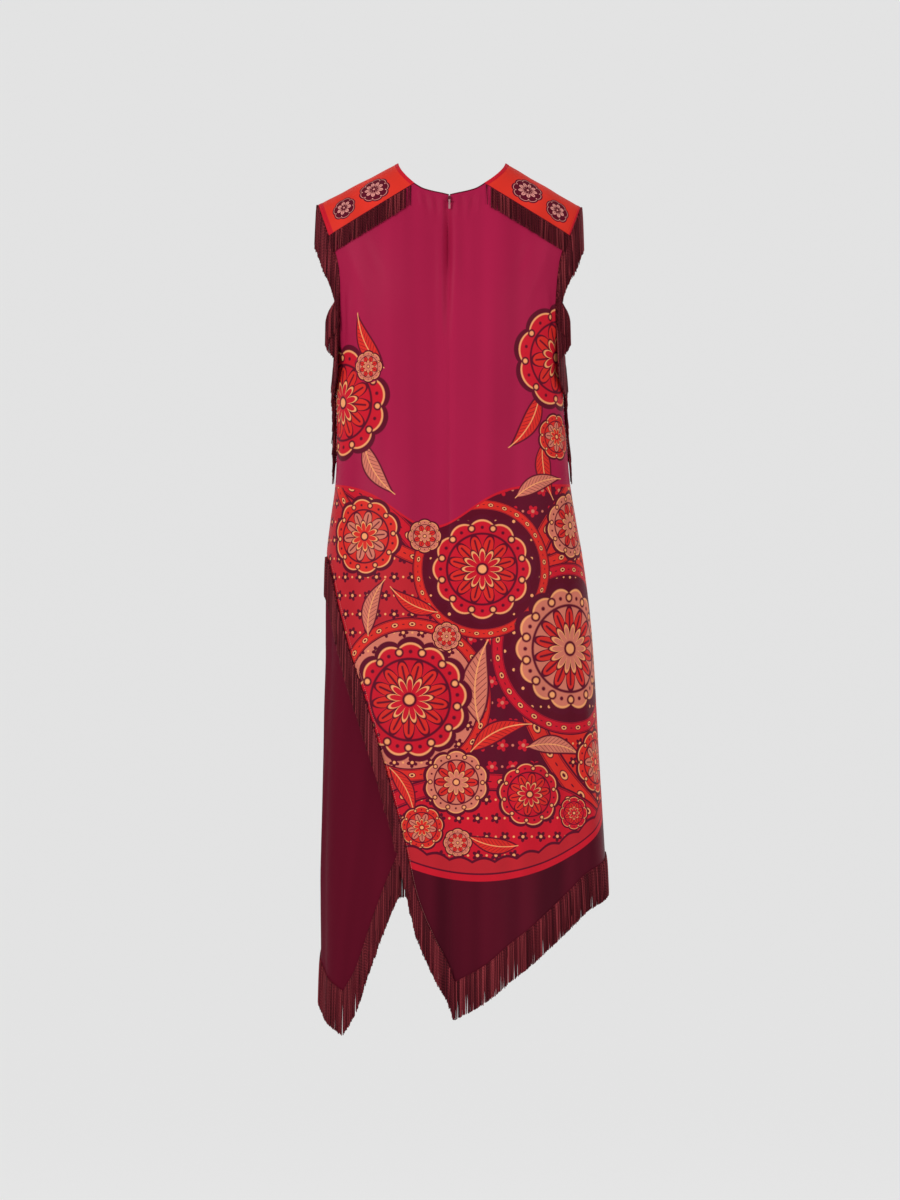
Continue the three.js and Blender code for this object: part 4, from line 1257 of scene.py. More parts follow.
    def build_fringes(self) -> None:
        """All runs of fringe."""
        hem, wrap = self.front.hems
        runs = [
            Fringe("fringe_slant", self.left.slant, 0.057, Fall.OVER_BACK, flare=0.0022, lift=0.0016),
            Fringe("fringe_hem_back", self.right.hem, 0.054, flare=0.0040, lift=0.0, pitch=0.0013),
            Fringe("fringe_hem_front", hem, 0.064, flare=0.0030, lift=0.0, pitch=0.0015),
            Fringe("fringe_wrap_edge", wrap, 0.064, flare=0.0020, lift=0.0, pitch=0.0013),
        ]
        for side, yoke in self.yokes.items():
            back, front = (lowered(yoke.seam_line(edge), 0.0012, 0.012) for edge in (-1.0, 1.0))
            word, out = side.word, np.array([side.value, 0.0, 0.0])
            over = {"steps": 7, "flare": 0.0012, "layer_gap": 0.0009, "radius": 0.00075, "thin_end": 0.26}
            runs += [
                Fringe(f"fringe_yoke_back_{word}", back, 0.028, Fall.OVER_BACK, lift=0.0008, **over),
                Fringe(f"fringe_yoke_front_{word}", front, 0.028, Fall.OVER_FRONT, lift=0.0010, **over),
                Fringe(
                    f"fringe_shoulder_{word}", yoke.across_line(1.0), 0.062, flare=0.0030, lift=0.0010,
                    out=out, wander=0.0008, spread=0.03,
                ),
                Fringe(
                    f"fringe_underarm_{word}", self.underarm_line(side), 0.060, flare=0.0022, lift=0.0004,
                    out=out, pitch=0.0013, wander=0.0008, flares=self.underarm_flares,
                ),
                Fringe(
                    f"fringe_side_{word}", self.side_line(side), 0.034, flare=0.0032, lift=0.0012, out=out,
                    pitch=0.0024, wander=0.0026,
                ),
            ]
        for run in runs:
            self.keep(run.build())

    def build_zip(self) -> None:
        """The zip's tape behind the centre seam and the coils at its open top."""
        z = np.linspace(BACK_NECK[0].z - 0.001, self.tape_foot, 120)[:, None]
        angle = FORM.turn_of(self.tape_half, 0.0, z) * np.linspace(-1.0, 1.0, 9)
        tape = cloth("zip_tape", [self.left.laid(angle, z, -self.tape_inset)], self.tape_thick)
        self.keep(tape, "burgundy_silk")
        across = np.linspace(-self.coil_half, self.coil_half, 5)
        x, height = np.meshgrid(across, np.linspace(self.coil_top, self.coil_foot, 9))
        paths = FORM.point(FORM.angle_at(x, height), height, -self.coil_inset)
        radii = np.full(x.shape, self.coil_radius)
        self.keep(tubes("zip_coil", paths, radii, FORM.outwards(paths), COIL_SIDES), "zip_metal")

    def build(self) -> None:
        """Everything in order."""
        self.build_cloth()
        self.build_edges()
        self.build_fringes()
        self.build_zip()


# ---- Reckoning in node trees ----
def reckoning(operation: str, swapped: bool = False) -> Callable[["Wire", "Feed"], "Wire"]:
    """A wire's method for one sign of arithmetic.

    Args:
        operation: The step that the sign stands for.
        swapped: Whether the wire is the second of the two values.

    Returns:
        The method.
    """

    def reckon(wire: "Wire", other: "Feed") -> "Wire":
        """The result of the step."""
        return wire.graph.maths(operation, *((other, wire) if swapped else (wire, other)))

    return reckon


@dataclass(frozen=True)
class Wire:
    """A node's output, reckoned with like a number."""

    graph: "Graph"
    socket: bpy.types.NodeSocket

    __add__ = __radd__ = reckoning("ADD")
    __mul__ = __rmul__ = reckoning("MULTIPLY")
    __sub__, __rsub__ = reckoning("SUBTRACT"), reckoning("SUBTRACT", swapped=True)
    __truediv__, __rtruediv__ = reckoning("DIVIDE"), reckoning("DIVIDE", swapped=True)
    __pow__ = reckoning("POWER")


Feed = Wire | float | tuple


@dataclass(frozen=True)
class Graph:
    """A node tree that is being built."""

    tree: bpy.types.NodeTree

    def add(self, kind: str, **settings: object) -> bpy.types.Node:
        """A new node with these settings."""
        node = self.tree.nodes.new(kind)
        for name, value in settings.items():
            setattr(node, name, value)
        return node

    def feed(self, socket: bpy.types.NodeSocket, value: Feed) -> None:
        """Links a wire to a socket or sets a plain value on it."""
        if isinstance(value, Wire):
            self.tree.links.new(value.socket, socket)
        else:
            socket.default_value = value

    def maths(self, operation: str, *values: Feed, clamp: bool = False) -> Wire:
        """The result of one step of arithmetic."""
        node = self.add("ShaderNodeMath", operation=operation, use_clamp=clamp)
        for socket, value in zip(node.inputs, values):
            self.feed(socket, value)
        return Wire(self, node.outputs[0])

    def absolute(self, value: Wire) -> Wire:
        """The value without its sign."""
        return self.maths("ABSOLUTE", value)

    def root(self, one: Wire, two: Wire) -> Wire:
        """The length of the long side of a right-angled triangle."""
        return self.maths("SQRT", one * one + two * two)

    def under(self, edge: Feed, value: Wire, soft: float = 0.02) -> Wire:
        """1 where the value is under the edge, 0 above it, with a soft step between."""
        return self.maths("ADD", (edge - value) / soft, 0.5, clamp=True)

    def near(self, middle: Feed, half: float, value: Wire, soft: float = 0.02) -> Wire:
        """1 where the value is within half of the middle."""
        return self.under(half, self.absolute(value - middle), soft)

    def both(self, one: Wire, two: Wire) -> Wire:
        """Where two masks meet."""
        return one * two

    def mix(self, share: Feed, below: Feed, above: Feed) -> Wire:
        """A colour between two."""
        node = self.add("ShaderNodeMix", data_type="RGBA")
        for index, value in ((0, share), (6, below), (7, above)):
            self.feed(node.inputs[index], value)
        return Wire(self, node.outputs[2])

    def painted(self, ground: Feed, *coats: tuple[Wire, Feed]) -> Wire:
        """The ground with coats laid over it in order, each a mask and a colour."""
        for mask, colour in coats:
            ground = self.mix(mask, ground, colour)
        return ground

    def mix_places(self, share: Feed, below: Feed, above: Feed) -> Wire:
        """A place between two."""
        node = self.add("ShaderNodeMix", data_type="VECTOR")
        for index, value in ((0, share), (4, below), (5, above)):
            self.feed(node.inputs[index], value)
        return Wire(self, node.outputs[1])

    def parts(self, vector: Wire) -> list[Wire]:
        """The three parts of a vector."""
        node = self.add("ShaderNodeSeparateXYZ")
        self.feed(node.inputs[0], vector)
        return [Wire(self, socket) for socket in node.outputs]

    def vector(self, x: Feed, y: Feed) -> Wire:
        """A flat vector."""
        node = self.add("ShaderNodeCombineXYZ")
        self.feed(node.inputs[0], x)
        self.feed(node.inputs[1], y)
        return Wire(self, node.outputs[0])

    def scaled(self, colour: Wire, factor: Wire) -> Wire:
        """A colour times a number."""
        node = self.add("ShaderNodeVectorMath", operation="SCALE")
        self.feed(node.inputs[0], colour)
        self.feed(node.inputs["Scale"], factor)
        return Wire(self, node.outputs[0])

    def noise(self, place: Wire, scale: float, detail: float = 2.0) -> Wire:
        """Soft noise from 0 to 1."""
        node = self.add("ShaderNodeTexNoise")
        self.feed(node.inputs["Vector"], place)
        node.inputs["Scale"].default_value = scale
        node.inputs["Detail"].default_value = detail
        return Wire(self, node.outputs[0])

    def use(self, tree: bpy.types.NodeTree, **values: Feed) -> bpy.types.Node:
        """Places a group; underscores in the names of its inputs stand for spaces."""
        node = self.add("ShaderNodeGroup", node_tree=tree)
        for name, value in values.items():
            self.feed(node.inputs[name.replace("_", " ")], value)
        return node

    def out_of(self, node: bpy.types.Node, name: str) -> Wire:
        """A named output of a node."""
        return Wire(self, node.outputs[name])

    def cloth_place(self) -> Wire:
        """The place on the cut cloth."""
        return Wire(self, self.add("ShaderNodeUVMap", uv_map=CUT_MAP).outputs[0])


class Kind(Enum):
    """Kinds of socket."""

    NUMBER = "NodeSocketFloat"
    COLOUR = "NodeSocketColor"
    PLACE = "NodeSocketVector"


@dataclass
class Group:
    """A shader node group with named inputs and outputs."""

    name: str
    takes: dict[str, Kind]
    gives: dict[str, Kind]

    def __post_init__(self) -> None:
        """Makes the tree, its sockets and its end nodes."""
        self.tree = bpy.data.node_groups.new(self.name, "ShaderNodeTree")
        for name, kind in self.takes.items():
            self.tree.interface.new_socket(name=name, in_out="INPUT", socket_type=kind.value)
        for name, kind in self.gives.items():
            self.tree.interface.new_socket(name=name, in_out="OUTPUT", socket_type=kind.value)
        self.graph = Graph(self.tree)
        self.start = self.graph.add("NodeGroupInput")
        self.end = self.graph.add("NodeGroupOutput")

    def __getitem__(self, name: str) -> Wire:
        """An input's wire."""
        return Wire(self.graph, self.start.outputs[name])

    def give(self, name: str, wire: Wire) -> None:
        """Sends a wire to an output."""
        self.graph.feed(self.end.inputs[name], wire)


# ---- The print ----
NUMBER, COLOUR, PLACE = Kind
DRAWN = {"Ground": COLOUR, "Cloth": PLACE, "Centre": PLACE, "Rim": COLOUR, "Line": COLOUR, "Field": COLOUR}
PAINTED = {"Colour": COLOUR}


def place_group() -> bpy.types.NodeTree:
    """The place of the cloth as a motif sees it: less its centre, over its size, turned back by its turn."""
    group = Group(
        "place_on_cloth",
        {"Cloth": PLACE, "Centre": PLACE, "Size": NUMBER, "Turn": NUMBER},
        {"Radius": NUMBER, "Angle": NUMBER, "Across": NUMBER, "Up": NUMBER},
    )
    g = group.graph
    (u, v, _), (cu, cv, _) = g.parts(group["Cloth"]), g.parts(group["Centre"])
    x, y = (u - cu) / group["Size"], (v - cv) / group["Size"]
    cos, sin = g.maths("COSINE", group["Turn"]), g.maths("SINE", group["Turn"])
    across, up = x * cos + y * sin, y * cos - x * sin
    group.give("Radius", g.root(across, up))
    group.give("Angle", g.maths("ARCTAN2", up, across))
    group.give("Across", across)
    group.give("Up", up)
    return group.tree


def rosette_group(place: bpy.types.NodeTree) -> bpy.types.NodeTree:
    """A round flower in rings: a scalloped rim, a pale line, a field with a ring of dots, petals and a heart.

    The rim and the petals follow the 0.7th power of the cosine of half the angle times the count of petals.
    """
    takes = DRAWN | {"Size": NUMBER, "Turn": NUMBER, "Petals": NUMBER, "Petal": COLOUR}
    group = Group("rosette", takes, PAINTED)
    g = group.graph
    at = g.use(place, Cloth=group["Cloth"], Centre=group["Centre"], Size=group["Size"], Turn=group["Turn"])
    radius, angle = g.out_of(at, "Radius"), g.out_of(at, "Angle")
    count = group["Petals"]
    half_turn = angle * count * 0.5
    lobe = g.absolute(g.maths("COSINE", half_turn)) ** 0.7
    gap = g.absolute(g.maths("SINE", half_turn)) ** 0.7
    ringed = radius / (0.90 + lobe * 0.10)
    cell = 2 * math.pi / count
    turn = angle / cell
    between = (g.maths("FRACT", turn + 8.0) - 0.5) * cell
    on_axis = (g.maths("FRACT", turn + 8.5) - 0.5) * cell
    dot = g.root(radius - 0.76, between * 0.76)
    small = g.root(radius - 0.76, on_axis * 0.76)
    outer, inner = 0.30 + gap * 0.30, 0.17 + lobe * 0.20
    vein = g.absolute(between) * radius
    within = g.under(outer - 0.05, radius)
    colour = g.painted(
        group["Ground"],
        (g.under(1.0, ringed), group["Rim"]),
        (g.under(0.905, ringed), group["Line"]),
        (g.under(0.872, ringed), group["Field"]),
        (g.under(0.075, dot), group["Rim"]),
        (g.under(0.042, dot), group["Line"]),
        (g.under(0.030, small), group["Rim"]),
        (g.near(0.645, 0.020, radius), group["Rim"]),
        (g.under(outer + 0.050, radius), group["Rim"]),
        (g.under(outer, radius), group["Petal"]),
        (g.both(g.under(0.016, vein), within), group["Rim"]),
        (g.under(inner + 0.035, radius), group["Rim"]),
        (g.under(inner, radius), group["Line"]),
        (g.under(inner - 0.045, radius), group["Field"]),
        (g.under(0.115, radius), group["Rim"]),
        (g.under(0.075, radius), group["Line"]),
    )
    group.give("Colour", colour)
    return group.tree


def holder_group() -> bpy.types.NodeTree:
    """Carries the place and look of a rosette on, or takes up a new one where its circle holds the place."""
    looks = {"Centre": PLACE, "Look": PLACE, "Field": COLOUR, "Petal": COLOUR}
    carried = {f"Last {name}": kind for name, kind in looks.items()}
    group = Group("rosette_holder", {"Cloth": PLACE} | looks | carried, looks)
    g = group.graph
    (u, v, _), (cu, cv, _) = g.parts(group["Cloth"]), g.parts(group["Centre"])
    size = g.parts(group["Look"])[0]
    held = g.maths("LESS_THAN", g.root(u - cu, v - cv), size)
    for name in ("Centre", "Look"):
        group.give(name, g.mix_places(held, group[f"Last {name}"], group[name]))
    for name in ("Field", "Petal"):
        group.give(name, g.mix(held, group[f"Last {name}"], group[name]))
    return group.tree


def leaf_group(place: bpy.types.NodeTree) -> bpy.types.NodeTree:
    """A leaf: the space between two arcs round a bent midrib, with a rim, a pale line and slanting veins."""
    takes = DRAWN | {"Size": NUMBER, "Turn": NUMBER, "Bend": NUMBER, "Width": NUMBER}
    group = Group("leaf", takes, PAINTED)
    g = group.graph
    at = g.use(place, Cloth=group["Cloth"], Centre=group["Centre"], Size=group["Size"], Turn=group["Turn"])
    across, up = g.out_of(at, "Across"), g.out_of(at, "Up")
    square = across * across
    away = g.absolute(up - group["Bend"] * (1.0 - square))
    edge = group["Width"] * g.maths("MAXIMUM", 1.0 - square, 0.0) * (1.0 - across * 0.35)
    slant = g.absolute(g.maths("SINE", (across - away * 1.1) * 21.0))
    veins = g.both(g.under(0.20, slant, 0.12), g.under(edge - 0.075, away))
    inside = g.under(1.0, g.absolute(across))
    colour = g.painted(
        group["Ground"],
        (g.both(g.under(edge, away, 0.03), inside), group["Rim"]),
        (g.under(edge - 0.055, away, 0.03), group["Field"]),
        (veins, group["Rim"]),
        (g.both(g.under(0.016, away), inside), group["Line"]),
    )
    group.give("Colour", colour)
    return group.tree


def band_group(place: bpy.types.NodeTree) -> bpy.types.NodeTree:
    """A curved band on a circle, outlined twice, with a row of seed shapes along its middle."""
    group = Group("band", DRAWN | {"Ring": NUMBER, "Half": NUMBER, "Pitch": NUMBER}, PAINTED)
    g = group.graph
    at = g.use(place, Cloth=group["Cloth"], Centre=group["Centre"], Size=1.0, Turn=0.0)
    radius, angle = g.out_of(at, "Radius"), g.out_of(at, "Angle")
    off = (radius - group["Ring"]) / group["Half"]
    away = g.absolute(off)
    along = angle * group["Ring"] / group["Pitch"]
    step = (g.maths("FRACT", along + 64.0) - 0.5) * group["Pitch"] / group["Half"]
    seed = g.root(off * 1.5, step)
    seed_two = g.root(off * 3.2, g.absolute(step) - group["Pitch"] / group["Half"] * 0.5)
    colour = g.painted(
        group["Ground"],
        (g.under(1.0, away, 0.05), group["Rim"]),
        (g.under(0.80, away, 0.05), group["Field"]),
        (g.near(0.70, 0.035, away, 0.05), group["Rim"]),
        (g.under(0.56, seed, 0.06), group["Rim"]),
        (g.under(0.44, seed, 0.06), group["Line"]),
        (g.under(0.22, seed, 0.06), group["Rim"]),
        (g.under(0.22, seed_two, 0.06), group["Rim"]),
    )
    group.give("Colour", colour)
    return group.tree


def scatter_group() -> bpy.types.NodeTree:
    """Small five-petalled flowers on a grid whose rows are offset by half a step, with dots between them."""
    group = Group(
        "scatter",
        {"Ground": COLOUR, "Cloth": PLACE, "Pitch": NUMBER, "Flower": COLOUR, "Dot": COLOUR, "Mask": NUMBER},
        PAINTED,
    )
    g = group.graph
    u, v, _ = g.parts(group["Cloth"])
    row = v / group["Pitch"] + 64.0
    odd = g.maths("MODULO", g.maths("FLOOR", row), 2.0)
    column = u / group["Pitch"] + 64.0 + odd * 0.5
    x, y = g.maths("FRACT", column) - 0.5, g.maths("FRACT", row) - 0.5
    radius, angle = g.root(x, y), g.maths("ARCTAN2", y, x)
    petal = 0.15 + g.absolute(g.maths("COSINE", angle * 2.5 + odd)) * 0.15
    corner = g.root(g.absolute(x) - 0.5, y)
    mask = group["Mask"]
    colour = g.painted(
        group["Ground"],
        (g.both(g.under(petal, radius, 0.03), mask), group["Flower"]),
        (g.both(g.under(0.085, radius, 0.03), mask), group["Dot"]),
        (g.both(g.under(0.060, corner, 0.03), mask), group["Dot"]),
    )
    group.give("Colour", colour)
    return group.tree


@dataclass(frozen=True)
class Scheme:
    """The colours of a motif, from its rim inwards."""

    rim: Colour
    line: Colour
    field: Colour
    petal: Colour


class Palette(Enum):
    """The schemes of the print."""

    RED = Scheme(DYES.plum, DYES.straw, DYES.vermilion, DYES.peach)
    PEACH = Scheme(DYES.plum, DYES.straw, DYES.peach, DYES.vermilion)
    SCARLET = Scheme(DYES.plum, DYES.straw, DYES.scarlet, DYES.vermilion)
    NIGHT = Scheme(DYES.plum, DYES.blush, DYES.burgundy, DYES.blush)


@dataclass(frozen=True)
class Rosette:
    """A rosette on the cut cloth: its centre, radius, turn, petals and scheme."""

    u: float
    v: float
    size: float
    petals: int
    palette: Palette
    turn: float = 0.0


@dataclass(frozen=True)
class Leaf:
    """A leaf on the cut cloth: its middle, half length, turn in degrees, bend, width and scheme."""

    u: float
    v: float
    size: float
    turn: float
    bend: float
    palette: Palette
    width: float = 0.30


@dataclass(frozen=True)
class Band:
    """A curved band on the cut cloth: its circle's centre and radius, its half width and the fill inside."""

    u: float
    v: float
    ring: float
    half: float
    palette: Palette
    fill: Colour | None = None


RED, PEACH, SCARLET, NIGHT = Palette
BACK_BANDS = (
    Band(-0.285, -0.745, 0.300, 0.0150, SCARLET, DYES.coral),
    Band(0.400, -0.700, 0.300, 0.0160, RED, DYES.vermilion),
    Band(0.050, -1.235, 0.330, 0.0140, SCARLET, DYES.scarlet), Band(0.060, -0.300, 0.300, 0.0110, RED, None),
    Band(0.186, -0.712, 0.116, 0.0100, SCARLET, DYES.burgundy),
    Band(-0.058, -0.786, 0.110, 0.0100, RED, DYES.peach),
    Band(0.048, -0.596, 0.094, 0.0080, RED, DYES.burgundy),
)
BACK_LEAVES = (
    # Sprays below the arms.
    Leaf(-0.118, -0.262, 0.046, 118, 0.22, RED), Leaf(-0.104, -0.448, 0.046, -58, -0.20, PEACH),
    Leaf(0.112, -0.378, 0.048, -122, 0.20, RED), Leaf(0.150, -0.452, 0.044, -78, -0.18, RED),
    # Round the hip.
    Leaf(-0.052, -0.640, 0.040, 152, 0.20, RED), Leaf(0.136, -0.478, 0.042, 20, 0.22, PEACH),
    Leaf(0.252, -0.596, 0.044, -36, 0.20, RED),
    # Down the skirt.
    Leaf(0.050, -0.760, 0.062, 84, 0.20, PEACH, 0.34), Leaf(0.076, -0.842, 0.050, 24, 0.24, RED),
    Leaf(-0.108, -0.652, 0.044, 72, 0.22, PEACH), Leaf(-0.070, -0.920, 0.040, -62, 0.20, RED),
    Leaf(0.158, -0.862, 0.046, -8, 0.22, PEACH), Leaf(0.062, -0.990, 0.040, 168, 0.20, RED),
)
BACK_ROSETTES = (
    Rosette(-0.172, -0.352, 0.086, 11, SCARLET, 0.2), Rosette(-0.122, -0.300, 0.024, 8, PEACH),
    Rosette(0.174, -0.286, 0.080, 9, SCARLET, 0.1), Rosette(0.168, -0.402, 0.036, 8, RED, 0.3),
    Rosette(0.048, -0.596, 0.080, 12, SCARLET), Rosette(-0.036, -0.548, 0.026, 8, PEACH),
    Rosette(-0.128, -0.548, 0.060, 10, RED, 0.4), Rosette(0.196, -0.532, 0.052, 10, PEACH, 0.2),
    Rosette(0.272, -0.492, 0.036, 8, RED), Rosette(-0.058, -0.786, 0.092, 13, SCARLET, 0.1),
    Rosette(0.186, -0.712, 0.098, 14, PEACH), Rosette(0.010, -0.906, 0.050, 10, PEACH, 0.3),
    Rosette(-0.004, -0.694, 0.022, 8, PEACH), Rosette(0.118, -0.924, 0.050, 10, SCARLET, 0.5),
    Rosette(0.242, -0.878, 0.050, 9, RED), Rosette(-0.040, -0.972, 0.034, 9, RED, 0.2),
    Rosette(0.190, -0.952, 0.026, 8, SCARLET), Rosette(0.012, -0.994, 0.022, 8, PEACH),
)
YOKE_ROSETTES = tuple(
    Rosette(u, side * v, size, petals, NIGHT, turn)
    for side in (-1, 1)
    for u, v, size, petals, turn in ((0.048, 0.055, 0.0235, 9, 0.0), (0.098, 0.056, 0.0185, 7, 0.4))
)


@dataclass
class Print:
    """The dyed designs of the back and of the yokes, drawn from groups of nodes."""

    ground_edge: float = -0.475
    ground_dip: float = 0.062
    dip_at: float = -0.025
    dip_width: float = 0.075
    border: tuple[float, float, float] = (-1.0467, -0.1667, 1.849)
    scallop: float = 0.006
    scallop_pitch: float = 0.0105
    band_deep: float = 0.026

    def __post_init__(self) -> None:
        """Makes the groups."""
        self.place = place_group()
        self.holder = holder_group()
        self.rosette = rosette_group(self.place)
        self.leaf = leaf_group(self.place)
        self.band = band_group(self.place)
        self.scatter = scatter_group()

    def with_rosettes(self, g: Graph, cloth_at: Wire, ground: Wire, rosettes: tuple[Rosette, ...]) -> Wire:
        """The ground with rosettes on it.

        The place and look of the rosette whose circle holds the cloth's place are carried along, a later one
        taking over from those before it, and one rosette is drawn from what is carried at the end.

        Args:
            g: The material's tree.
            cloth_at: The place on the cut cloth.
            ground: The colour below.
            rosettes: The rosettes, none of which should reach over another.

        Returns:
            The colour.
        """
        centre: Feed = (9.0, 9.0, 0.0)
        look: Feed = (1.0, 8.0, 0.0)
        field_dye, petal_dye = DYES.vermilion, DYES.peach
        for one in rosettes:
            node = g.use(
                self.holder, Cloth=cloth_at,
                Centre=(one.u, one.v, one.turn), Look=(one.size, one.petals, 0.0),
                Field=one.palette.value.field, Petal=one.palette.value.petal,
                Last_Centre=centre, Last_Look=look, Last_Field=field_dye, Last_Petal=petal_dye,
            )
            centre, look = g.out_of(node, "Centre"), g.out_of(node, "Look")
            field_dye, petal_dye = g.out_of(node, "Field"), g.out_of(node, "Petal")
        turn, (size, petals, _) = g.parts(centre)[2], g.parts(look)
        scheme = rosettes[0].palette.value
        node = g.use(
            self.rosette, Ground=ground, Cloth=cloth_at, Centre=centre, Size=size, Turn=turn, Petals=petals,
            Rim=scheme.rim, Line=scheme.line, Field=field_dye, Petal=petal_dye,
        )
        return g.out_of(node, "Colour")

    def with_leaves(self, g: Graph, cloth_at: Wire, ground: Wire, leaves: tuple[Leaf, ...]) -> Wire:
        """The ground with leaves on it."""
        for one in leaves:
            scheme = one.palette.value
            node = g.use(
                self.leaf, Ground=ground, Cloth=cloth_at, Centre=(one.u, one.v, 0.0), Size=one.size,
                Turn=math.radians(one.turn), Bend=one.bend, Width=one.width, Rim=scheme.rim, Line=scheme.line,
                Field=scheme.field,
            )
            ground = g.out_of(node, "Colour")
        return ground

    def with_bands(self, g: Graph, cloth_at: Wire, ground: Wire, low: Wire, bands: tuple[Band, ...]) -> Wire:
        """The ground with curved bands, and their fills with small flowers, where the low mask holds."""
        for one in bands:
            scheme = one.palette.value
            centre = (one.u, one.v, 0.0)
            painted = ground
            if one.fill is not None:
                seen = g.use(self.place, Cloth=cloth_at, Centre=centre, Size=1.0, Turn=0.0)
                inside = g.both(g.under(one.ring, g.out_of(seen, "Radius"), EDGE_SOFT), low)
                spread = g.use(
                    self.scatter, Ground=g.mix(inside, ground, one.fill), Cloth=cloth_at, Pitch=0.027,
                    Flower=DYES.plum, Dot=DYES.straw, Mask=inside,
                )
                painted = g.out_of(spread, "Colour")
            node = g.use(
                self.band, Ground=painted, Cloth=cloth_at, Centre=centre, Ring=one.ring, Half=one.half,
                Pitch=one.half * 2.6, Rim=scheme.rim, Line=scheme.line, Field=scheme.field,
            )
            ground = g.mix(low, ground, g.out_of(node, "Colour"))
        return ground

    def back(self, g: Graph) -> Wire:
        """The back's design: raspberry above, then bands, leaves and rosettes, and the plain border below
        with painted bands of sheen and shade.

        The raspberry ends at a level line with one bell-shaped dip. The border's edge is a parabola of the
        place across, and the size of a sine scallops the top of its coral band.

        Args:
            g: The material's tree.

        Returns:
            The colour of the cloth.
        """
        cloth_at = g.cloth_place()
        u, v, _ = g.parts(cloth_at)
        bell = g.maths("EXPONENT", ((u - self.dip_at) / self.dip_width) ** 2.0 * -1.0)
        edge = self.ground_edge - bell * self.ground_dip
        low = g.under(edge, v, EDGE_SOFT)
        rim = g.under(edge + 0.0035, v, EDGE_SOFT)
        field = g.use(
            self.scatter, Ground=DYES.plum, Cloth=cloth_at, Pitch=0.031, Flower=DYES.scarlet, Dot=DYES.peach,
            Mask=low,
        )
        colour = g.painted(DYES.raspberry, (rim, DYES.scarlet), (low, g.out_of(field, "Colour")))
        colour = self.with_bands(g, cloth_at, colour, low, BACK_BANDS)
        colour = self.with_leaves(g, cloth_at, colour, BACK_LEAVES)
        colour = self.with_rosettes(g, cloth_at, colour, BACK_ROSETTES)
        a, b, c = self.border
        line = a + u * b + u * u * c
        waves = g.absolute(g.maths("SINE", u / self.scallop_pitch)) * self.scallop
        above = v - line
        # Painted sheen and shade: the border's burgundy is mixed with a darker burgundy in long soft bands
        # down the cloth.
        falls = g.noise(g.vector(u * 22.0, v * 1.1), 1.0, 1.0)
        hem_dye_and_painted_sheen = g.mix(g.maths("ADD", (falls - 0.5) * 2.6, 0.5, clamp=True), DYES.wine, DYES.burgundy)
        return g.painted(
            colour,
            (g.under(self.band_deep + 0.004, above - waves, EDGE_SOFT), DYES.plum),
            (g.under(self.band_deep, above - waves, EDGE_SOFT), DYES.coral),
            (g.under(0.012, above, EDGE_SOFT), DYES.plum),
            (g.under(0.0095, above, EDGE_SOFT), DYES.scarlet),
            (g.under(0.0, above, EDGE_SOFT), hem_dye_and_painted_sheen),
        )

    def yoke(self, g: Graph) -> Wire:
        """The yokes' design: vermilion with dark rosettes."""
        cloth_at = g.cloth_place()
        u, _, _ = g.parts(cloth_at)
        hem = g.maths("MAXIMUM", g.under(0.0045, u, 0.0006), g.under(0.0045, 0.129 - u, 0.0006))
        colour = g.mix(hem, DYES.yoke, DYES.scarlet)
        return self.with_rosettes(g, cloth_at, colour, YOKE_ROSETTES)


# ---- The finishes ----
def silk_face_group() -> bpy.types.NodeTree:
    """How silk twill varies over its face: slow shade, slubs, painted bands of sheen and shade down its
    length, and the rib.
    """
    group = Group(
        "silk_face",
        {"Dye": COLOUR, "Cloth": PLACE, "Shade": NUMBER, "Falls": NUMBER, "Rough": NUMBER},
        {"Colour": COLOUR, "Rough": NUMBER, "Height": NUMBER},
    )
    g = group.graph
    u, v, _ = g.parts(group["Cloth"])
    slow = g.noise(group["Cloth"], 9.0)
    slub = g.noise(g.vector(u * 60.0, v * 900.0), 1.0, 3.0)
    rib = g.maths("SINE", (u + v) * (2 * math.pi / 0.00085))
    # Painted sheen: long soft bands, lighter and darker down the cloth, stand in for the silk's sheen.
    falls = g.noise(g.vector(u * 26.0, v * 1.3), 1.0, 1.0)
    shade = (slow - 0.5) * group["Shade"] * 2.0 + (slub - 0.5) * group["Shade"]
    shade = shade + (falls - 0.5) * group["Falls"] * 2.0
    group.give("Colour", g.scaled(group["Dye"], shade + 1.0))
    group.give("Rough", group["Rough"] + (slow - 0.5) * 0.16 + (slub - 0.5) * 0.10)
    group.give("Height", rib * 0.35 + slub * 0.6)
    return group.tree


@dataclass
class Surface:
    """A new material with its graph and its shader."""

    name: str

    def __post_init__(self) -> None:
        """Makes the material."""
        self.material = bpy.data.materials.new(self.name)
        self.material.use_nodes = True
        self.graph = Graph(self.material.node_tree)
        self.shader = self.material.node_tree.nodes["Principled BSDF"]

    def give(self, **values: Feed) -> None:
        """Sets or links the shader's sockets; underscores in their names stand for spaces."""
        for name, value in values.items():
            self.graph.feed(self.shader.inputs[name.replace("_", " ")], value)

    def raise_by(self, height: Wire, strength: float, distance: float) -> None:
        """Bumps the surface by a height."""
        bump = self.graph.add("ShaderNodeBump")
        for name, value in (("Strength", strength), ("Distance", distance), ("Height", height)):
            self.graph.feed(bump.inputs[name], value)
        self.give(Normal=self.graph.out_of(bump, "Normal"))


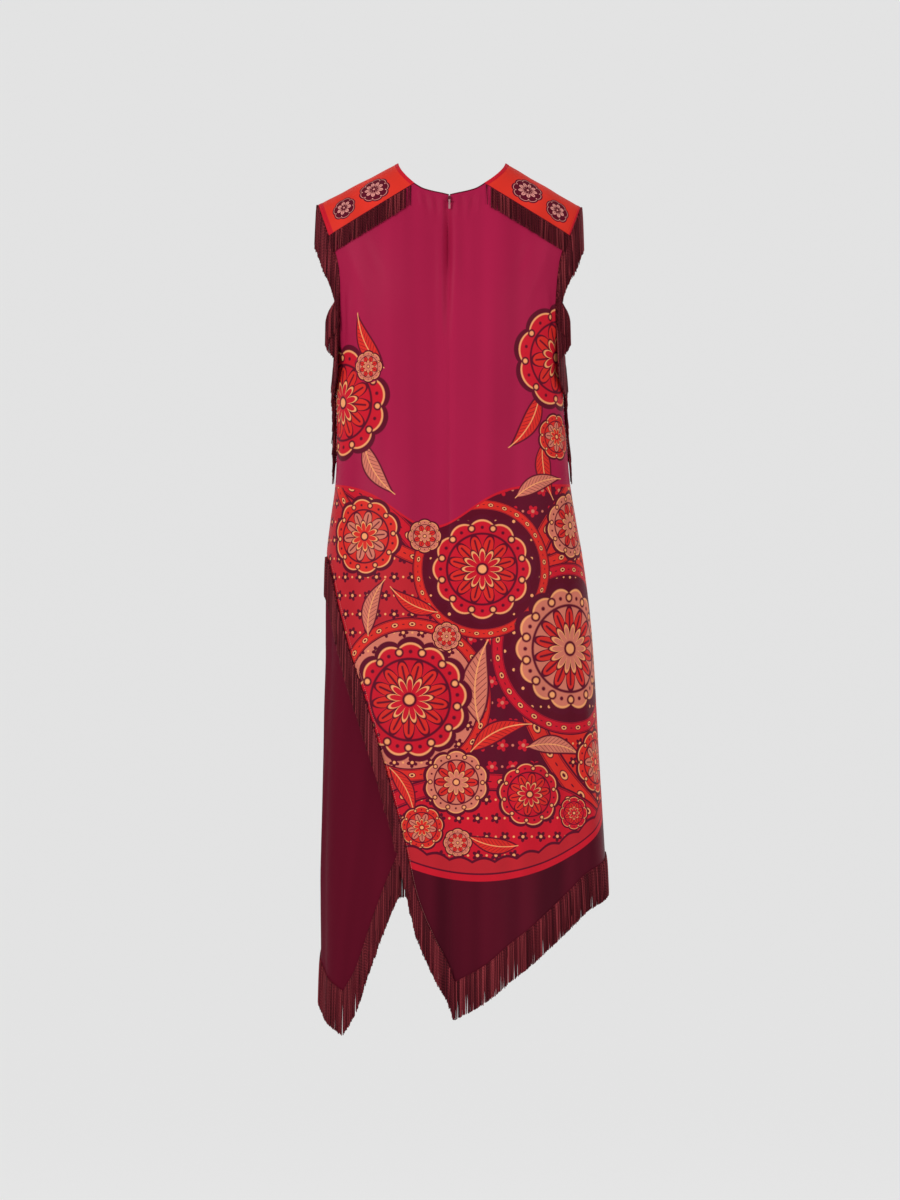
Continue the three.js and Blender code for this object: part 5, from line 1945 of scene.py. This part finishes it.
@dataclass(frozen=True)
class Silk:
    """Silk twill: how shiny it is, how much its shade varies, and how strongly bands of sheen are painted
    into its colour.
    """

    name: str
    rough: float = 0.44
    shade: float = 0.035
    sheen: float = 0.015
    sheen_rough: float = 0.45
    gloss: float = 0.05
    # Strength of the painted sheen bands.
    falls: float = 0.20
    rib_height: float = 0.00006

    def make(self, face: bpy.types.NodeTree, dye: "Dye") -> bpy.types.Material:
        """The material for a dye."""
        surface = Surface(self.name)
        g = surface.graph
        node = g.use(
            face, Dye=dye(g), Cloth=g.cloth_place(), Shade=self.shade, Falls=self.falls, Rough=self.rough
        )
        surface.raise_by(g.out_of(node, "Height"), 0.6, self.rib_height)
        surface.give(
            Base_Color=g.out_of(node, "Colour"), Roughness=g.out_of(node, "Rough"), Sheen_Weight=self.sheen,
            Sheen_Roughness=self.sheen_rough, Sheen_Tint=DYES.blush, Specular_IOR_Level=self.gloss,
        )
        return surface.material


Dye = Callable[[Graph], Feed]


@dataclass(frozen=True)
class Yarn:
    """Twisted fringe yarn: the length of its twist and the spread of its tones, out to painted highlights and
    painted shade.
    """

    name: str = "fringe_yarn"
    twist: float = 0.0042
    rough: float = 0.55
    gloss: float = 0.07
    # pale is the colour of the painted highlights and the palest strands, deep that of the painted shade and
    # the darkest strands.
    pale: Colour = tint(186, 74, 80)
    deep: Colour = tint(34, 4, 11)

    def make(self) -> bpy.types.Material:
        """The material: each strand has its own random tone, pushed out to painted highlights and painted
        shade, and the twist lowers it in slanting grooves, with painted shade in the grooves and painted
        highlights on the ridges between.
        """
        surface = Surface(self.name)
        g = surface.graph
        around, along, _ = g.parts(g.cloth_place())
        tone = Wire(g, g.add("ShaderNodeAttribute", attribute_name=TONE).outputs["Fac"])
        ply = g.maths("SINE", (around * 2.0 + along / self.twist + tone * 7.0) * (2 * math.pi))
        fuzz = g.noise(g.vector(around * 6.0 + tone * 40.0, along * 900.0), 1.0, 3.0)
        # Painted highlight and shade: strands lightened or darkened by their random tone, shade painted into
        # the twist's grooves and highlights onto its ridges.
        light = g.maths("MAXIMUM", (tone - 0.66) * 1.5, 0.0) + g.maths("MAXIMUM", ply, 0.0) * 0.20
        dark_tone_and_groove_shade = g.maths("MAXIMUM", (0.50 - tone) * 1.25, 0.0) + g.maths("MAXIMUM", ply * -1.0, 0.0) * 0.40
        colour = g.mix(g.maths("MULTIPLY", light, 1.0, clamp=True), DYES.yarn, self.pale)
        colour = g.mix(g.maths("MULTIPLY", dark_tone_and_groove_shade, 1.0, clamp=True), colour, self.deep)
        surface.raise_by(ply * 0.6 + fuzz * 0.5, 0.8, 0.00025)
        surface.give(
            Base_Color=colour, Roughness=fuzz * 0.2 + (self.rough - 0.1), Sheen_Weight=0.02,
            Sheen_Tint=DYES.blush, Specular_IOR_Level=self.gloss,
        )
        return surface.material


@dataclass(frozen=True)
class ZipMetal:
    """Lacquered zip metal: its colour, the wear of the lacquer and its polish."""

    name: str
    wear: float
    lacquer: Colour = tint(110, 34, 52)
    worn: Colour = tint(232, 172, 178)
    rough: float = 0.28

    def make(self) -> bpy.types.Material:
        """The material: slow noise over the place wears the lacquer down to bare metal."""
        surface = Surface(self.name)
        g = surface.graph
        at = Wire(g, g.add("ShaderNodeTexCoord").outputs["Object"])
        rub, grain = g.noise(at, 420.0, 4.0), g.noise(at, 2600.0, 3.0)
        wear = g.maths("ADD", (rub - 0.45) * 3.2, self.wear, clamp=True)
        surface.raise_by(grain, 0.4, 0.00004)
        surface.give(
            Base_Color=g.mix(wear, self.lacquer, self.worn), Roughness=grain * 0.2 + (self.rough - 0.1),
            Metallic=wear * 0.5 + 0.5,
        )
        return surface.material


@dataclass
class Wardrobe:
    """Makes the finishes and puts each on its pieces."""

    printed: Silk = Silk("printed_silk")
    yoke: Silk = Silk("yoke_silk", rough=0.48)
    plain: Silk = Silk("burgundy_silk", rough=0.60, shade=0.045, sheen=0.006, gloss=0.02, falls=0.24)
    raspberry: Silk = Silk("raspberry_silk")
    red: Silk = Silk("scarlet_silk", rough=0.48)
    thread: Silk = Silk("pale_thread", rough=0.5)

    def dress(self, pieces: dict[str, bpy.types.Object]) -> None:
        """Puts the finishes on the pieces and on the zip's own nodes."""
        face, design = silk_face_group(), Print()
        # Burgundy is the own colour of the hem roll and of the rolls on the burgundy front; where the rolls
        # edge raspberry or vermilion cloth, at the back neck, the armholes, the slanting edge and the yoke
        # seams, their burgundy is painted shade, a thin dark line along the edge.
        rolls = "neck_roll armhole_roll slant_roll hem_roll yoke_seam_left yoke_seam_right"
        silks = (
            (self.printed, design.back, "back_left_cloth back_right_cloth"),
            (self.yoke, design.yoke, "yoke_left_cloth yoke_right_cloth"),
            (self.plain, lambda g: DYES.burgundy, f"front_cloth {rolls} zip_tape zip_coil"),
            (self.raspberry, lambda g: DYES.raspberry, "opening_roll"),
            (self.red, lambda g: DYES.scarlet, "yoke_roll_left yoke_roll_right yoke_stitches"),
            (self.thread, lambda g: DYES.blush, "slant_stitches"),
        )
        finishes = {}
        for silk, dye, names in silks:
            finishes.update(dict.fromkeys(names.split(), silk.make(face, dye)))
        yarn = Yarn().make()
        for name, piece in pieces.items():
            piece.data.materials.append(finishes.get(name, yarn))
        metals = {"zip_slider": ZipMetal("slider_lacquer", -0.35), "zip_pull_tab": ZipMetal("tab_metal", 0.8)}
        for name, metal in metals.items():
            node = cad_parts[name]
            node.data.materials.clear()
            node.data.materials.append(metal.make())


# ---- The studio ----
class Lamp(NamedTuple):
    """A square area light: its place, its side and its power."""

    name: str
    place: tuple[float, float, float]
    size: float
    power: float


@dataclass
class Studio:
    """A plain pale room with soft lights and the camera behind the dress."""

    lamps: tuple[Lamp, ...] = (
        Lamp("key", (-3.4, -3.2, 1.2), 1.6, 100.0),
        Lamp("fill", (3.2, -3.0, 0.4), 2.2, 46.0),
        Lamp("top", (0.0, 0.2, 3.2), 3.0, 16.0),
    )
    aim: tuple[float, float, float] = (0.0, 0.0, -0.6)
    floor: float = -1.75
    wall: float = 14.0
    reach: float = 14.0
    cove: float = 6.0
    picture_height: float = 1.764
    distance: float = 12.0
    sensor: float = 24.0
    centre_x: float = 0.0009
    centre_z: float = -0.641
    sky: float = 0.42
    glow: float = 0.605

    def build_room(self) -> None:
        """Floor and wall in one glowing sheet: level, a quarter round, then upright."""
        turn = np.linspace(0.0, math.pi / 2, 24)
        y = np.concatenate([[-self.reach], self.wall - self.cove + self.cove * np.sin(turn), [self.wall]])
        z = np.concatenate([[0.0], self.cove * (1 - np.cos(turn)), [self.reach]]) + self.floor
        x = np.array([-self.reach, self.reach])
        grid = np.stack(np.broadcast_arrays(x[None, :], y[::-1, None], z[::-1, None]), axis=-1)
        faces = grid_faces(*grid.shape[:2])
        room = mesh_object("room", grid.reshape(-1, 3), faces, np.zeros((*faces.shape, 2)))
        paint = Surface("room_paint")
        paint.give(
            Base_Color=tint(150, 150, 150), Emission_Color=WHITE, Emission_Strength=self.glow, Roughness=0.9,
            Specular_IOR_Level=0.0,
        )
        room.data.materials.append(paint.material)

    def add_lamp(self, lamp: Lamp) -> None:
        """A light that looks from its place to the aim."""
        light = bpy.data.lights.new(lamp.name, "AREA")
        light.size, light.energy = lamp.size, lamp.power
        made = bpy.data.objects.new(lamp.name, light)
        made.location = lamp.place
        made.rotation_euler = (Vector(self.aim) - Vector(lamp.place)).to_track_quat("-Z", "Y").to_euler()
        bpy.context.scene.collection.objects.link(made)

    def build(self) -> None:
        """Room, world, lights and camera."""
        scene = bpy.context.scene
        self.build_room()
        world = bpy.data.worlds.new("studio")
        world.use_nodes = True
        world.node_tree.nodes["Background"].inputs["Color"].default_value = WHITE
        world.node_tree.nodes["Background"].inputs["Strength"].default_value = self.sky
        scene.world = world
        for lamp in self.lamps:
            self.add_lamp(lamp)
        lens = bpy.data.cameras.new("camera")
        lens.sensor_fit = "VERTICAL"
        lens.sensor_height = self.sensor
        lens.lens = self.sensor * self.distance / self.picture_height
        camera = bpy.data.objects.new("camera", lens)
        camera.location = (self.centre_x, -self.distance, self.centre_z)
        camera.rotation_euler = (math.radians(90), 0.0, 0.0)
        scene.collection.objects.link(camera)
        scene.camera = camera
        scene.view_settings.view_transform = "Standard"


def write_size() -> None:
    """Brings the view layer up to date."""
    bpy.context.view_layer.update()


def main() -> None:
    """Builds the dress, its finishes and the studio in order."""
    logging.basicConfig(level=logging.INFO, format="%(name)s: %(message)s")
    Studio().build()
    dress = Dress()
    dress.build()
    Wardrobe().dress(dress.pieces)
    write_size()


if __name__ == "__main__":
    main()
